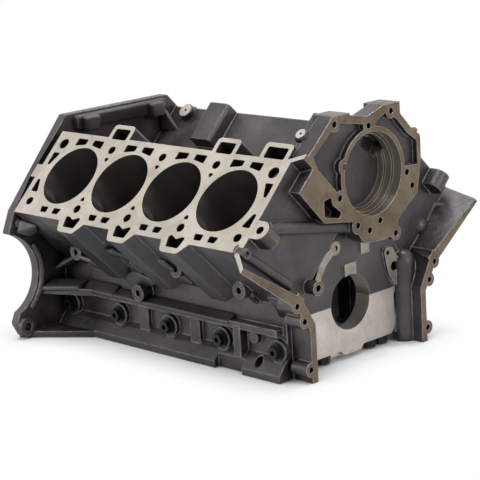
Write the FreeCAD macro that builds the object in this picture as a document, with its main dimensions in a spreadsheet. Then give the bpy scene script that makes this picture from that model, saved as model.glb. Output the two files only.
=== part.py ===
"""Bare cylinder block of a 90 degree V8 engine, with its cross-bolted main bearing caps.

Units are millimetres. X runs forward along the crankshaft, Z is up and the origin is the crankshaft
axis at the centre of the third main bearing. The right bank leans to -Y, the left bank to +Y.
"""
import FreeCAD, Part
import math
import operator
import os
from types import SimpleNamespace

import Sketcher
from FreeCAD import Placement, Rotation, Vector

doc = FreeCAD.newDocument("engine_block")
sheet = doc.addObject("Spreadsheet::Sheet", "Sheet")

# ---------------------------------------------------------------------------------------------
# Driving dimensions, by region of the block
# ---------------------------------------------------------------------------------------------
GENERAL = {
    "bore_pitch": 100,
    "bore_diameter": 90.2,
    "bore_depth": 140,
    "bank_tilt": 45,
    "bank_stagger": 20,
    "deck_height": 220.5,
    "front_face": 244.5,
    "rear_face": 232,
    "pan_rail_drop": 74,
}
BANK = {
    "deck_inboard": 66,
    "deck_outboard": 67,
    "deck_front_margin": 67.5,
    "deck_rear_margin": 68,
    "deck_corner": 6,
    "bank_depth": 126,
    "head_bolt_offset": 47,
    "head_bolt_hole": 12.4,
    "head_bolt_depth": 62,
    "head_dowel_bore": 16.4,
    "head_dowel_depth": 11,
    "drain_shift": 3,
    "drain_reach": 83,
    "drain_root": 50,
    "drain_tip": 27,
    "drain_length": 112,
    "drain_window_width": 30,
    "drain_window_near": 59,
    "drain_window_far": 75.5,
    "drain_depth": 60,
    "return_reach": 87,
    "return_width": 41,
    "return_length": 62,
    "return_window_width": 29,
    "return_window_near": 64,
    "return_window_far": 81,
    "front_return_rear": 13,
    "front_return_front": 60,
    "front_return_reach": 89,
    "front_window_rear": 19,
    "front_window_front": 54,
    "front_window_near": 66,
    "front_window_far": 83,
    "window_corner": 3,
    "ear_forward": 78,
    "ear_offset": 32,
    "ear_radius": 12.5,
    "ear_hole": 11,
    "ear_depth": 24,
}
JACKET = {
    "jacket_depth": 55,
    "jacket_corner": 2,
    "siamese_offset": 26.5,
    "siamese_width": 11,
    "siamese_height": 8,
    "inner_slot_near": 6,
    "inner_slot_far": 27,
    "inner_slot_low": 50,
    "inner_slot_dip": 46,
    "inner_slot_high": 58.5,
    "outer_slot_near": 5.5,
    "outer_slot_far": 21,
    "outer_slot_low": 51,
    "outer_slot_high": 60,
    "end_slot_edge": 60,
    "end_slot_near": 12,
    "end_slot_far": 32,
    "end_slot_narrow": 54.5,
    "end_slot_wide": 46,
}
CRANKCASE = {
    "main_bore_diameter": 72.4,
    "main_width": 23,
    "cap_half_width": 83,
    "cap_height": 61,
    "cap_keel": 6.5,
    "cap_keel_width": 44,
    "cap_fit": 0.25,
    "skirt_half_width": 117,
    "skirt_wall": 10,
    "web_foot": 62,
    "pan_rail_half_width": 135,
    "pan_rail_thickness": 9,
    "shoulder_rise": 22,
    "valley_rise": 128,
    "bay_arch_half_width": 58,
    "bay_arch_rise": 84,
    "bay_shoulder_rise": 12,
    "inner_bolt_offset": 44,
    "outer_bolt_offset": 66,
    "side_bolt_drop": 37,
    "side_boss_radius": 15,
    "side_boss_reach": 124,
}
CHEST = {
    "chest_depth": 44,
    "chest_corner_reach": 91.5,
    "chest_corner_strip": 6.5,
    "chest_root": 57,
    "chest_root_strip": 8,
    "chest_root_depth": 98,
    "chest_knee_y": 137,
    "chest_knee_z": 37,
    "chest_throat_y": 126,
    "chest_throat_z": 45,
    "chest_waist_y": 109,
    "chest_waist_z": 6,
    "chest_strip": 9.5,
    "chest_boss_radius": 9,
    "chest_boss_depth": 26,
    "chest_hole": 8,
    "chest_hole_depth": 20,
    "chest_upper_boss_y": 129,
    "chest_upper_boss_z": 29,
    "chest_middle_boss_y": 117.5,
    "chest_middle_boss_z": 7,
    "chest_lower_boss_y": 111,
    "chest_lower_boss_z": 56,
    "inner_wall_reach": 78,
    "inner_wall_root": 60,
    "inner_wall_strip": 6,
    "inner_wall_depth": 70,
    "standoff_y": 91,
    "standoff_z": 43,
    "standoff_radius": 9,
    "standoff_hole": 9,
    "standoff_hole_depth": 24,
    "tube_radius": 8.5,
    "tube_x": 231,
    "tube_y": 12,
    "tube_z": 104,
    "tube_length": 150,
    "tube_slope": 10,
    "spout_x": 217,
    "spout_y": 100,
    "spout_z": 52,
    "spout_length": 92,
    "spout_slope": 38,
}
PUMP = {
    "pump_depth": 24,
    "pump_barrel_radius": 62,
    "pump_barrel_depth": 46,
    "pump_y": 17.5,
    "pump_z": 166,
    "pump_mouth_radius": 53,
    "pump_mouth_depth": 13,
    "pump_seat_radius": 49,
    "pump_seat_depth": 23,
    "pump_volute_radius": 45,
    "pump_volute_depth": 32,
    "pump_ring_radius": 59,
    "pump_recess": 8,
    "pump_rim": 6.5,
    "pump_left_y": 116,
    "pump_left_z": 166,
    "pump_notch_y": 90,
    "pump_notch_z": 191,
    "pump_ear_y": 99,
    "pump_ear_z": 206,
    "pump_crown_z": 248.5,
    "pump_crown_left_y": 51,
    "pump_crown_right_y": 72,
    "pump_crown_width": 30,
    "pump_saddle_y": 10,
    "pump_saddle_z": 239,
    "pump_shoulder_y": 92,
    "pump_shoulder_z": 212,
    "pump_cheek_y": 109,
    "pump_cheek_z": 200,
    "pump_cheek_low_z": 172,
    "pump_flank_y": 100,
    "pump_flank_z": 128,
    "pump_hip_y": 59,
    "pump_hip_z": 98,
    "pump_foot_y": 37,
    "pump_foot_z": 78.5,
    "pump_toe_y": 9,
    "pump_toe_z": 86,
    "pump_belly_y": 25,
    "pump_belly_z": 113,
    "pump_chin_y": 74.5,
    "pump_chin_z": 121,
    "pump_boss_radius": 9.5,
    "pump_hole": 8.2,
    "pump_hole_depth": 20,
    "pump_crown_depth": 34,
    "pump_crown_left_hole_y": 48.8,
    "pump_crown_left_hole_z": 238.5,
    "pump_crown_right_hole_y": 55.3,
    "pump_crown_right_hole_z": 239,
    "pump_saddle_hole_y": 12.6,
    "pump_saddle_hole_z": 227,
    "pump_ring_hole_y": 35,
    "pump_ring_hole_z": 184,
    "pump_belly_hole_y": 45,
    "pump_belly_hole_z": 146.5,
    "pump_cheek_hole_y": 81,
    "pump_cheek_hole_z": 156.5,
    "pump_flank_hole_y": 90.6,
    "pump_flank_hole_z": 137.6,
    "pump_heel_hole_y": 6.8,
    "pump_heel_hole_z": 95.6,
    "pump_sole_hole_y": 26.8,
    "pump_sole_hole_z": 104.4,
    "pump_toe_hole_y": 14.4,
    "pump_toe_hole_z": 106,
    "pump_hip_hole_y": 55.3,
    "pump_hip_hole_z": 82.4,
    "pump_window_y": 64,
    "pump_window_z": 148,
    "port_near": 12,
    "port_far": 50,
    "port_low": 12,
    "port_middle": 30,
    "port_high": 52,
    "port_depth": 20,
}
FRONT_WEB = {
    "guide_y": 30,
    "guide_z": 77,
    "guide_radius": 9,
    "guide_height": 7,
    "outlet_y": 82,
    "outlet_z": 29,
    "outlet_hole": 13,
    "outlet_height": 4,
    "outlet_screw_hole": 6.5,
    "outlet_upper_y": 71,
    "outlet_upper_z": 49,
    "outlet_lower_y": 89.5,
    "outlet_lower_z": 9.6,
    "spot_width": 21.5,
    "spot_low": 30,
    "spot_high": 51,
    "web_spot_height": 3,
    "foot_spot_y": 29,
    "foot_spot_low": 58,
    "foot_spot_high": 73,
    "foot_spot_width": 16,
    "guide_far_y": 71,
    "guide_far_z": 41,
    "guide_bend_y": 57,
    "guide_bend_z": 66,
    "guide_width": 8,
    "column_y": 102,
    "column_radius": 17,
    "column_top": 30,
    "web_notch_near": 84,
    "web_notch_far": 92,
    "web_notch_high": 8,
    "web_notch_low": 27,
    "web_notch_depth": 14,
}
REAR = {
    "rear_flange": 14,
    "rear_top_half_width": 94,
    "rear_top_rise": 222,
    "rear_tip_y": 208,
    "rear_tip_z": 77,
    "rear_deck_y": 112,
    "rear_deck_z": 203,
    "rear_bank_y": 200,
    "rear_bank_z": 110,
    "rear_ear_y": 193,
    "rear_ear_drop": 57,
    "rear_ear_radius": 15,
    "rear_scallop_radius": 60,
    "rear_scallop_y": 225,
    "rear_scallop_z": 18,
    "rear_bolt_hole": 11,
    "rear_seal_radius": 52,
    "rear_flare_start": 140,
    "rear_top_bolt_y": 61,
    "rear_top_bolt_z": 206,
    "rear_tip_bolt_y": 190,
    "rear_tip_bolt_z": 88,
}
FASTENERS = {
    "main_bolt_shank": 12,
    "main_bolt_fit": 0.4,
    "main_bolt_head": 18,
    "main_bolt_flange": 21,
    "main_bolt_flange_height": 3,
    "main_bolt_head_height": 10.5,
    "inner_bolt_length": 95,
    "outer_bolt_length": 83,
    "bolt_hole_margin": 4,
    "side_bolt_shank": 10,
    "side_bolt_flange": 22,
    "side_bolt_flange_height": 2.5,
    "side_bolt_head": 15,
    "side_bolt_head_height": 9,
    "side_bolt_length": 49.5,
    "side_bolt_socket": 7,
    "side_bolt_socket_depth": 5,
    "rear_dowel_radius": 7,
    "rear_dowel_y": 160,
    "rear_dowel_z": 112,
    "rear_dowel_depth": 13,
    "rear_dowel_proud": 11,
    "rear_neck_drop": 9,
    "rear_neck_depth": 95,
    "rear_lug_half_width": 10,
}
FLANK = {
    "rib_drop": 12,
    "rib_half_height": 4.5,
    "rib_reach": 130,
    "see_through_x": 169,
    "see_through_drop": 55,
    "see_through_hole": 12,
    "rail_flare_rise": 28,
    "rail_ledge": 7,
    "rail_ledge_rise": 22,
    "mount_boss_radius": 11,
    "mount_boss_hole": 9,
    "mount_boss_depth": 20,
    "mount_web": 9,
    "mount_web_low": 26,
    "mount_web_high": 12,
    "mount_rear_x": -153,
    "mount_rear_z": 47,
    "mount_rear_reach": 148,
    "mount_low_x": -45,
    "mount_low_z": 3,
    "mount_low_reach": 135,
    "mount_middle_x": 51,
    "mount_middle_z": 53,
    "mount_middle_reach": 151,
    "mount_front_x": 163,
    "mount_front_z": 41,
    "mount_front_reach": 148,
    "post_width": 18,
    "post_reach": 123,
    "strut_x": 136,
    "strut_width": 12,
    "strut_reach": 131,
    "stub_x": 160,
    "stub_drop": 25,
    "stub_radius": 8,
    "stub_reach": 125,
    "rail_notch_rear": 96,
    "rail_notch_front": 146,
    "rail_notch_reach": 127,
    "window_bump": 9,
    "window_bump_rise": 4,
}
SIZES = {**GENERAL, **BANK, **JACKET, **CRANKCASE, **CHEST, **PUMP, **FRONT_WEB, **REAR, **FASTENERS,
         **FLANK}


class Size:
    """A number together with the spreadsheet formula that gives it."""

    def __init__(self, number, formula):
        self.number = number
        self.formula = formula

    def joined(self, other, sign, rule):
        other = as_size(other)
        formula = f"({self.formula} {sign} {other.formula})"
        return Size(rule(self.number, other.number), formula)

    def __add__(self, other):
        return self.joined(other, "+", operator.add)

    def __sub__(self, other):
        return self.joined(other, "-", operator.sub)

    def __mul__(self, other):
        return self.joined(other, "*", operator.mul)

    def __truediv__(self, other):
        return self.joined(other, "/", operator.truediv)

    def __radd__(self, other):
        return as_size(other) + self

    def __rsub__(self, other):
        return as_size(other) - self

    def __rmul__(self, other):
        return as_size(other) * self

    def __neg__(self):
        return self * -1


def as_size(value):
    """A plain number as a Size."""
    if isinstance(value, Size):
        return value
    return Size(float(value), f"({value:g})")


def sine(angle):
    return Size(math.sin(math.radians(angle.number)), f"sin({angle.formula} * 1deg)")


def cosine(angle):
    return Size(math.cos(math.radians(angle.number)), f"cos({angle.formula} * 1deg)")


for row, (alias, number) in enumerate(SIZES.items(), start=1):
    sheet.set(f"A{row}", alias.replace("_", " "))
    sheet.set(f"B{row}", str(number))
    sheet.setAlias(f"B{row}", alias)
doc.recompute()
S = SimpleNamespace(**{alias: Size(float(number), f"Sheet.{alias}") for alias, number in SIZES.items()})

# Sketch frames: the turn that carries a sketch's own x, y and normal into the block
UP = Rotation()
FRONT = Rotation(Vector(1, 1, 1), 120)
SIDE = Rotation(Vector(1, 0, 0), 90)

# The two banks: where the deck faces, which way a deck sketch's y runs and where its front bore is
FIRST_BORE = 1.5 * S.bore_pitch
FIRST_MAIN = 2 * S.bore_pitch
WEB_FACE = FIRST_MAIN + S.main_width / 2
BANKS = (
    SimpleNamespace(name="right", side=-1, front_bore=FIRST_BORE + S.bank_stagger / 2),
    SimpleNamespace(name="left", side=1, front_bore=FIRST_BORE - S.bank_stagger / 2),
)
CYLINDERS = range(4)
MAINS = range(5)


# ---------------------------------------------------------------------------------------------
# Drawing helpers
# ---------------------------------------------------------------------------------------------
def new_body(name):
    body = doc.addObject("PartDesign::Body", name)
    body.Label = name
    return body


def new_sketch(body, name, turn, at):
    """A sketch on the body's XY plane, turned and moved by formulas to where it is needed."""
    sketch = body.newObject("Sketcher::SketchObject", name)
    plane = next(f for f in body.Origin.OriginFeatures if f.Role == "XY_Plane")
    sketch.AttachmentSupport = (plane, [""])
    sketch.MapMode = "FlatFace"
    at = [as_size(v) for v in at]
    sketch.AttachmentOffset = Placement(Vector(*(v.number for v in at)), turn)
    for axis, v in zip("xyz", at):
        sketch.setExpression(f"AttachmentOffset.Base.{axis}", v.formula)
    return sketch


class Draft:
    """Constraints gathered for one sketch, so that they are solved together."""

    def __init__(self, sketch):
        self.sketch = sketch
        self.plain = []
        self.sized = []

    def tie(self, kind, *where):
        self.plain.append(Sketcher.Constraint(kind, *where))

    def size(self, kind, *where_and_value):
        *where, value = where_and_value
        value = as_size(value)
        self.sized.append((Sketcher.Constraint(kind, *where, value.number), value.formula))

    def place(self, item, point, x, y):
        self.size("DistanceX", -1, 1, item, point, x)
        self.size("DistanceY", -1, 1, item, point, y)

    def finish(self):
        first = self.sketch.ConstraintCount
        self.sketch.addConstraint([rule for rule, _ in self.sized] + self.plain)
        for offset, (_, formula) in enumerate(self.sized):
            self.sketch.setExpression(f"Constraints[{first + offset}]", formula)


def circle(sketch, x, y, radius):
    x, y, radius = as_size(x), as_size(y), as_size(radius)
    shape = Part.Circle(Vector(x.number, y.number), Vector(0, 0, 1), radius.number)
    draft = Draft(sketch)
    item = sketch.addGeometry(shape)
    draft.place(item, 3, x, y)
    draft.size("Radius", item, radius)
    draft.finish()


def outline(sketch, corners):
    """A closed outline with straight sides; a corner given a third value is rounded to that radius."""
    corners = [tuple(as_size(v) for v in corner) for corner in corners]
    points = [Vector(c[0].number, c[1].number) for c in corners]
    count = len(points)
    ways = [(points[(i + 1) % count] - points[i]).normalize() for i in range(count)]
    trims = []
    for i, corner in enumerate(corners):
        turn = ways[i - 1].getAngle(ways[i])
        trims.append(corner[2].number * math.tan(turn / 2) if len(corner) > 2 else 0)
    sides = []
    for i in range(count):
        start = points[i] + ways[i] * trims[i]
        end = points[(i + 1) % count] - ways[i] * trims[(i + 1) % count]
        sides.append(sketch.addGeometry(Part.LineSegment(start, end)))
    draft = Draft(sketch)
    for i, corner in enumerate(corners):
        before, after = sides[i - 1], sides[i]
        if len(corner) == 2:
            draft.tie("Coincident", before, 2, after, 1)
            draft.place(after, 1, corner[0], corner[1])
            continue
        round_corner(draft, corner, points[i], ways[i - 1], ways[i], trims[i], before, after)
    draft.finish()


def round_corner(draft, corner, point, way_in, way_out, trim, before, after):
    left_turn = way_in.cross(way_out).z > 0
    inward = Vector(-way_in.y, way_in.x) * (1 if left_turn else -1)
    start = point - way_in * trim
    end = point + way_out * trim
    centre = start + inward * corner[2].number
    angles = [math.atan2(p.y - centre.y, p.x - centre.x) for p in (start, end)]
    if not left_turn:
        angles.reverse()
    ring = Part.Circle(centre, Vector(0, 0, 1), corner[2].number)
    arc = draft.sketch.addGeometry(Part.ArcOfCircle(ring, *angles))
    first, last = (1, 2) if left_turn else (2, 1)
    tip = draft.sketch.addGeometry(Part.Point(point), True)
    draft.place(tip, 1, corner[0], corner[1])
    draft.tie("PointOnObject", tip, 1, before)
    draft.tie("PointOnObject", tip, 1, after)
    draft.tie("Tangent", before, 2, arc, first)
    draft.tie("Tangent", arc, last, after, 1)
    draft.size("Radius", arc, corner[2])


def rectangle(x0, x1, y0, y1, radius=None):
    """The corners of an upright rectangle, rounded when a radius is given."""
    corners = [(x0, y0), (x1, y0), (x1, y1), (x0, y1)]
    if radius is None:
        return corners
    return [(x, y, radius) for x, y in corners]


def mirrored(corners):
    """The corners seen in a mirror standing on the sketch's own y axis."""
    return [(-1 * as_size(c[0]), *c[1:]) for c in reversed(corners)]


def grow(body, sketch, length, backwards=False):
    """Add material over the sketch."""
    return shape_body(body, "PartDesign::Pad", sketch, length, backwards)


def cut(body, sketch, depth, forwards=False):
    """Take material away below the sketch, or above it when forwards is set."""
    return shape_body(body, "PartDesign::Pocket", sketch, depth, forwards)


def shape_body(body, kind, sketch, length, flipped):
    before = body.Shape.Volume if body.Tip else 0
    feature = body.newObject(kind, sketch.Name + "_" + kind.split("::")[1].lower())
    feature.Profile = sketch
    feature.Reversed = flipped
    feature.Refine = False
    feature.setExpression("Length", as_size(length).formula)
    doc.recompute()
    if abs(body.Shape.Volume - before) < 1:
        raise RuntimeError(f"{feature.Name} changes nothing")
    return feature


def repeat(body, feature, count):
    """Copies of a feature towards the rear, one bore pitch apart."""
    pattern = body.newObject("PartDesign::LinearPattern", feature.Name + "_row")
    pattern.Originals = [feature]
    axis = next(f for f in body.Origin.OriginFeatures if f.Role == "X_Axis")
    pattern.Direction = (axis, [""])
    pattern.Reversed = True
    pattern.Refine = False
    pattern.Occurrences = count
    pattern.setExpression("Length", (S.bore_pitch * (count - 1)).formula)
    body.Tip = pattern
    doc.recompute()


# ---------------------------------------------------------------------------------------------
# The casting
# ---------------------------------------------------------------------------------------------
def deck_sketch(body, bank, name, drop=0):
    """A sketch on a deck: x runs forward from the front bore, y runs inboard, its back is the bank."""
    height = S.deck_height - drop
    turn = Rotation(Vector(1, 0, 0), -bank.side * S.bank_tilt.number)
    at = (bank.front_bore, bank.side * sine(S.bank_tilt) * height, cosine(S.bank_tilt) * height)
    return new_sketch(body, f"{name}_{bank.name}", turn, at)


def on_deck(bank, corners):
    """Corners given as (forward, inboard), in the deck sketch of that bank."""
    return [(c[0], -bank.side * as_size(c[1]), *c[2:]) for c in corners]


def along(start, step):
    return -1 * (start + step * S.bore_pitch)


def add_bank(body, bank):
    rear_edge = -1 * (3 * S.bore_pitch + S.deck_rear_margin)
    plan = deck_sketch(body, bank, "deck")
    edges = rectangle(rear_edge, S.deck_front_margin, -1 * S.deck_outboard, S.deck_inboard)
    outline(plan, on_deck(bank, edges))
    grow(body, plan, S.bank_depth, True)
    if bank.side > 0:
        return
    end = -1 * S.rear_face + S.rear_flange - 1 - bank.front_bore
    neck = deck_sketch(body, bank, "rear_neck", S.rear_neck_drop)
    half = S.deck_outboard - S.rear_neck_drop
    outline(neck, on_deck(bank, rectangle(end, rear_edge + 2, -1 * half, half)))
    grow(body, neck, S.rear_neck_depth, True)
    lug = deck_sketch(body, bank, "rear_lug")
    half = S.rear_lug_half_width
    outline(lug, on_deck(bank, rectangle(end, rear_edge + 2, -1 * half, half)))
    grow(body, lug, S.rear_neck_drop + 2, True)


def add_drain_columns(body, bank):
    """Oil drain columns that stand out from the outboard wall between the bores."""
    plan = deck_sketch(body, bank, "drain_columns")
    for gap in range(3):
        middle = along(-1 * S.drain_shift, gap + 0.5)
        root, tip = S.drain_root / 2, S.drain_tip / 2
        column = [
            (middle - root, -1 * S.deck_outboard + 2),
            (middle - tip - 3, -1 * S.drain_reach, S.deck_corner),
            (middle + tip, -1 * S.drain_reach, S.deck_corner),
            (middle + root + 3, -1 * S.deck_outboard + 2),
        ]
        outline(plan, on_deck(bank, column))
    grow(body, plan, S.drain_length, True)


def add_return_columns(body, bank):
    """Columns on the valley side that carry the oil return windows."""
    plan = deck_sketch(body, bank, "return_columns")
    wall = S.deck_inboard - 2
    half = S.return_width / 2
    for gap in (0.5, 2.5):
        middle = along(0, gap)
        edges = [
            (middle - half, wall),
            (middle + half, wall),
            (middle + half, S.return_reach, S.deck_corner),
            (middle - half, S.return_reach, S.deck_corner),
        ]
        outline(plan, on_deck(bank, edges))
    front = [
        (S.front_return_rear, wall),
        (S.front_return_front, wall),
        (S.front_return_front, S.front_return_reach, S.deck_corner),
        (S.front_return_rear, S.front_return_reach, S.deck_corner),
    ]
    outline(plan, on_deck(bank, front))
    grow(body, plan, S.return_length, True)


def add_crankcase(body):
    """The deep skirt, the floor of the valley and the pan rails, drawn as one section of the block."""
    section = new_sketch(body, "crankcase_section", FRONT, (-1 * S.rear_face + S.rear_flange, 0, 0))
    valley_half_width = S.valley_rise - S.deck_inboard / cosine(S.bank_tilt)
    right_half = [
        (-1 * valley_half_width, S.valley_rise),
        (-1 * S.skirt_half_width, S.shoulder_rise),
        (-1 * S.skirt_half_width, -1 * S.pan_rail_drop + S.rail_flare_rise),
        (-1 * S.skirt_half_width - S.rail_ledge, -1 * S.pan_rail_drop + S.rail_ledge_rise),
        (-1 * S.pan_rail_half_width, -1 * S.pan_rail_drop + S.pan_rail_thickness),
        (-1 * S.pan_rail_half_width, -1 * S.pan_rail_drop),
    ]
    outline(section, right_half + mirrored(right_half))
    grow(body, section, S.rear_face - S.rear_flange + WEB_FACE)


def main_positions():
    return [FIRST_MAIN - k * S.bore_pitch for k in MAINS]


def crank_bays(body):
    """The space of one crank bay, repeated between the main bearing webs."""
    half = S.skirt_half_width - S.skirt_wall
    floor = -1 * S.pan_rail_drop - 1
    section = front_sketch(body, "crank_bay", FIRST_MAIN - S.main_width / 2)
    outline(section, [
        (-1 * half, floor),
        (half, floor),
        (half, S.bay_shoulder_rise),
        (S.bay_arch_half_width, S.bay_arch_rise, S.deck_corner),
        (-1 * S.bay_arch_half_width, S.bay_arch_rise, S.deck_corner),
        (-1 * half, S.bay_shoulder_rise),
    ])
    repeat(body, grow(body, section, S.bore_pitch - S.main_width, True), 4)


def main_tunnel(body):
    """The seats of the main caps, the relief under the webs and the line-bored main tunnel."""
    length = 2 * FIRST_MAIN + S.main_width
    seat = front_sketch(body, "cap_seats", WEB_FACE + 1)
    half = S.cap_half_width + S.cap_fit
    outline(seat, rectangle(-1 * half, half, -1 * S.pan_rail_drop - 1, 0))
    grow(body, seat, length + 2, True)
    foot = front_sketch(body, "web_feet", WEB_FACE + 1)
    half = S.skirt_half_width - S.skirt_wall
    outline(foot, rectangle(-1 * half, half, -1 * S.pan_rail_drop - 1, -1 * S.web_foot))
    grow(body, foot, length + 2, True)
    bore = front_sketch(body, "main_bore", WEB_FACE + S.web_spot_height + 1)
    circle(bore, 0, 0, S.main_bore_diameter / 2)
    grow(body, bore, length + S.web_spot_height + 2, True)
    seal = front_sketch(body, "rear_seal_bore", -1 * S.rear_face - 1)
    circle(seal, 0, 0, S.rear_seal_radius)
    grow(body, seal, S.rear_face - FIRST_MAIN - S.main_width / 2 + 1)
    slot = front_sketch(body, "rear_seal_slot", -1 * S.rear_face - 1)
    outline(slot, rectangle(
        -1 * S.rear_seal_radius, S.rear_seal_radius, -1 * S.pan_rail_drop - 1, 0))
    grow(body, slot, S.rear_face - FIRST_MAIN - S.main_width / 2 + 1)


def cylinder_bores(body, bank):
    plan = deck_sketch(body, bank, "cylinder_bores", -1)
    for number in CYLINDERS:
        circle(plan, along(0, number), 0, S.bore_diameter / 2)
    grow(body, plan, S.bore_depth + 1, True)


def cut_deck_holes(body, bank):
    """Head bolt holes with their dowel bores, water slots, drain and return windows in the deck."""
    bolts = deck_sketch(body, bank, "head_bolt_holes")
    for column in range(5):
        for v in on_deck(bank, ((0, S.head_bolt_offset), (0, -1 * S.head_bolt_offset))):
            circle(bolts, along(-0.5 * S.bore_pitch, column), v[1], S.head_bolt_hole / 2)
    cut(body, bolts, S.head_bolt_depth)
    dowels = deck_sketch(body, bank, "head_dowel_bores")
    for column in (0, 4):
        x, y = on_deck(bank, ((along(-0.5 * S.bore_pitch, column), S.head_bolt_offset),))[0]
        circle(dowels, x, y, S.head_dowel_bore / 2)
    cut(body, dowels, S.head_dowel_depth)


def cut_jacket(body, bank):
    """Water openings of the deck: two pairs beside each bore, between bores and at both ends."""
    r = S.jacket_corner
    slots = deck_sketch(body, bank, "bore_slots")
    for way in (1, -1):
        near, far = way * S.inner_slot_near, way * S.inner_slot_far
        outline(slots, on_deck(bank, [
            (near, S.inner_slot_low, r),
            (far, S.inner_slot_dip, r),
            (far, S.inner_slot_high, r),
            (near, S.inner_slot_high, r),
        ]))
        near, far = way * S.outer_slot_near, way * S.outer_slot_far
        outline(slots, on_deck(bank, [
            (near, -1 * S.outer_slot_low, r),
            (far, -1 * S.outer_slot_low, r),
            (far - way * 3, -1 * S.outer_slot_high, r),
            (near, -1 * S.outer_slot_high, r),
        ]))
    repeat(body, cut(body, slots, S.jacket_depth), 4)
    between = deck_sketch(body, bank, "between_bores")
    half = S.siamese_width / 2
    middle = -0.5 * S.bore_pitch
    for side in (1, -1):
        base = side * S.siamese_offset
        tip = base + side * S.siamese_height
        outline(between, on_deck(bank, [
            (middle - half, tip, r),
            (middle, base, r),
            (middle + half, tip, r),
        ]))
    repeat(body, cut(body, between, S.jacket_depth), 3)
    ends = deck_sketch(body, bank, "end_slots")
    for start, way in ((0, 1), (-3 * S.bore_pitch, -1)):
        for side in (1, -1):
            outline(ends, on_deck(bank, [
                (start + way * S.end_slot_edge, side * S.end_slot_near, r),
                (start + way * S.end_slot_edge, side * S.end_slot_far, r),
                (start + way * S.end_slot_wide, side * S.end_slot_far, r),
                (start + way * S.end_slot_narrow, side * S.end_slot_near, r),
            ]))
    cut(body, ends, S.jacket_depth)


def cut_windows(body, bank):
    """The oil drain windows outboard and the return windows on the valley side."""
    plan = deck_sketch(body, bank, "oil_windows")
    r = S.window_corner
    for gap in range(3):
        middle = along(-1 * S.drain_shift, gap + 0.5)
        half = S.drain_window_width / 2
        window = [
            (middle - half, -1 * S.drain_window_near, r),
            (middle - S.window_bump, -1 * S.drain_window_near),
            (middle, -1 * S.drain_window_near - S.window_bump_rise),
            (middle + S.window_bump, -1 * S.drain_window_near),
            (middle + half, -1 * S.drain_window_near, r),
            (middle + half - 4, -1 * S.drain_window_far, r),
            (middle - half + 4, -1 * S.drain_window_far, r),
        ]
        outline(plan, on_deck(bank, window))
    half = S.return_window_width / 2
    for gap in (0.5, 2.5):
        middle = along(0, gap)
        window = rectangle(middle - half, middle + half, S.return_window_near, S.return_window_far, r)
        outline(plan, on_deck(bank, window))
    window = rectangle(
        S.front_window_rear, S.front_window_front, S.front_window_near, S.front_window_far, r)
    outline(plan, on_deck(bank, window))
    cut(body, plan, S.drain_depth)


def add_deck_ear(body, bank):
    """The lug ahead of the deck that takes the foremost outboard head screw."""
    plan = deck_sketch(body, bank, "deck_ear")
    low, high = -1 * S.ear_offset - S.ear_radius, -1 * S.ear_offset + S.ear_radius
    lug = [
        (S.deck_front_margin - 4, low),
        (S.ear_forward + S.ear_radius, low, S.ear_radius - 0.2),
        (S.ear_forward + S.ear_radius, high, S.ear_radius - 0.2),
        (S.deck_front_margin - 4, high),
    ]
    outline(plan, on_deck(bank, lug))
    grow(body, plan, S.ear_depth, True)
    hole = deck_sketch(body, bank, "deck_ear_hole")
    x, y = on_deck(bank, ((S.ear_forward, -1 * S.ear_offset),))[0]
    circle(hole, x, y, S.ear_hole / 2)
    cut(body, hole, S.ear_depth - 4)


def across(bank, height, inboard):
    """The (y, z) of a point given by its height above the crankshaft and its place across the deck."""
    slant_y, slant_z = sine(S.bank_tilt), cosine(S.bank_tilt)
    y = bank.side * (height * slant_y - inboard * slant_z)
    return y, height * slant_z + inboard * slant_y


def front_sketch(body, name, x, bank=None):
    title = name if bank is None else f"{name}_{bank.name}"
    return new_sketch(body, title, FRONT, (x, 0, 0))


def outward(bank, corners):
    """Corners given as (outboard, up) turned to the side of that bank."""
    return [(bank.side * as_size(c[0]), *c[1:]) for c in corners]


def add_wall(body, bank, name, front_corners, root_corners, root):
    """A wall of the timing chest, lofted from its root on the bank to the front face."""
    start = front_sketch(body, f"{name}_root", root, bank)
    outline(start, root_corners)
    end = front_sketch(body, f"{name}_face", S.front_face, bank)
    outline(end, front_corners)
    wall = body.newObject("PartDesign::AdditiveLoft", f"{name}_{bank.name}")
    wall.Profile = start
    wall.Sections = [end]
    wall.Ruled = True
    wall.Refine = False
    doc.recompute()


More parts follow.
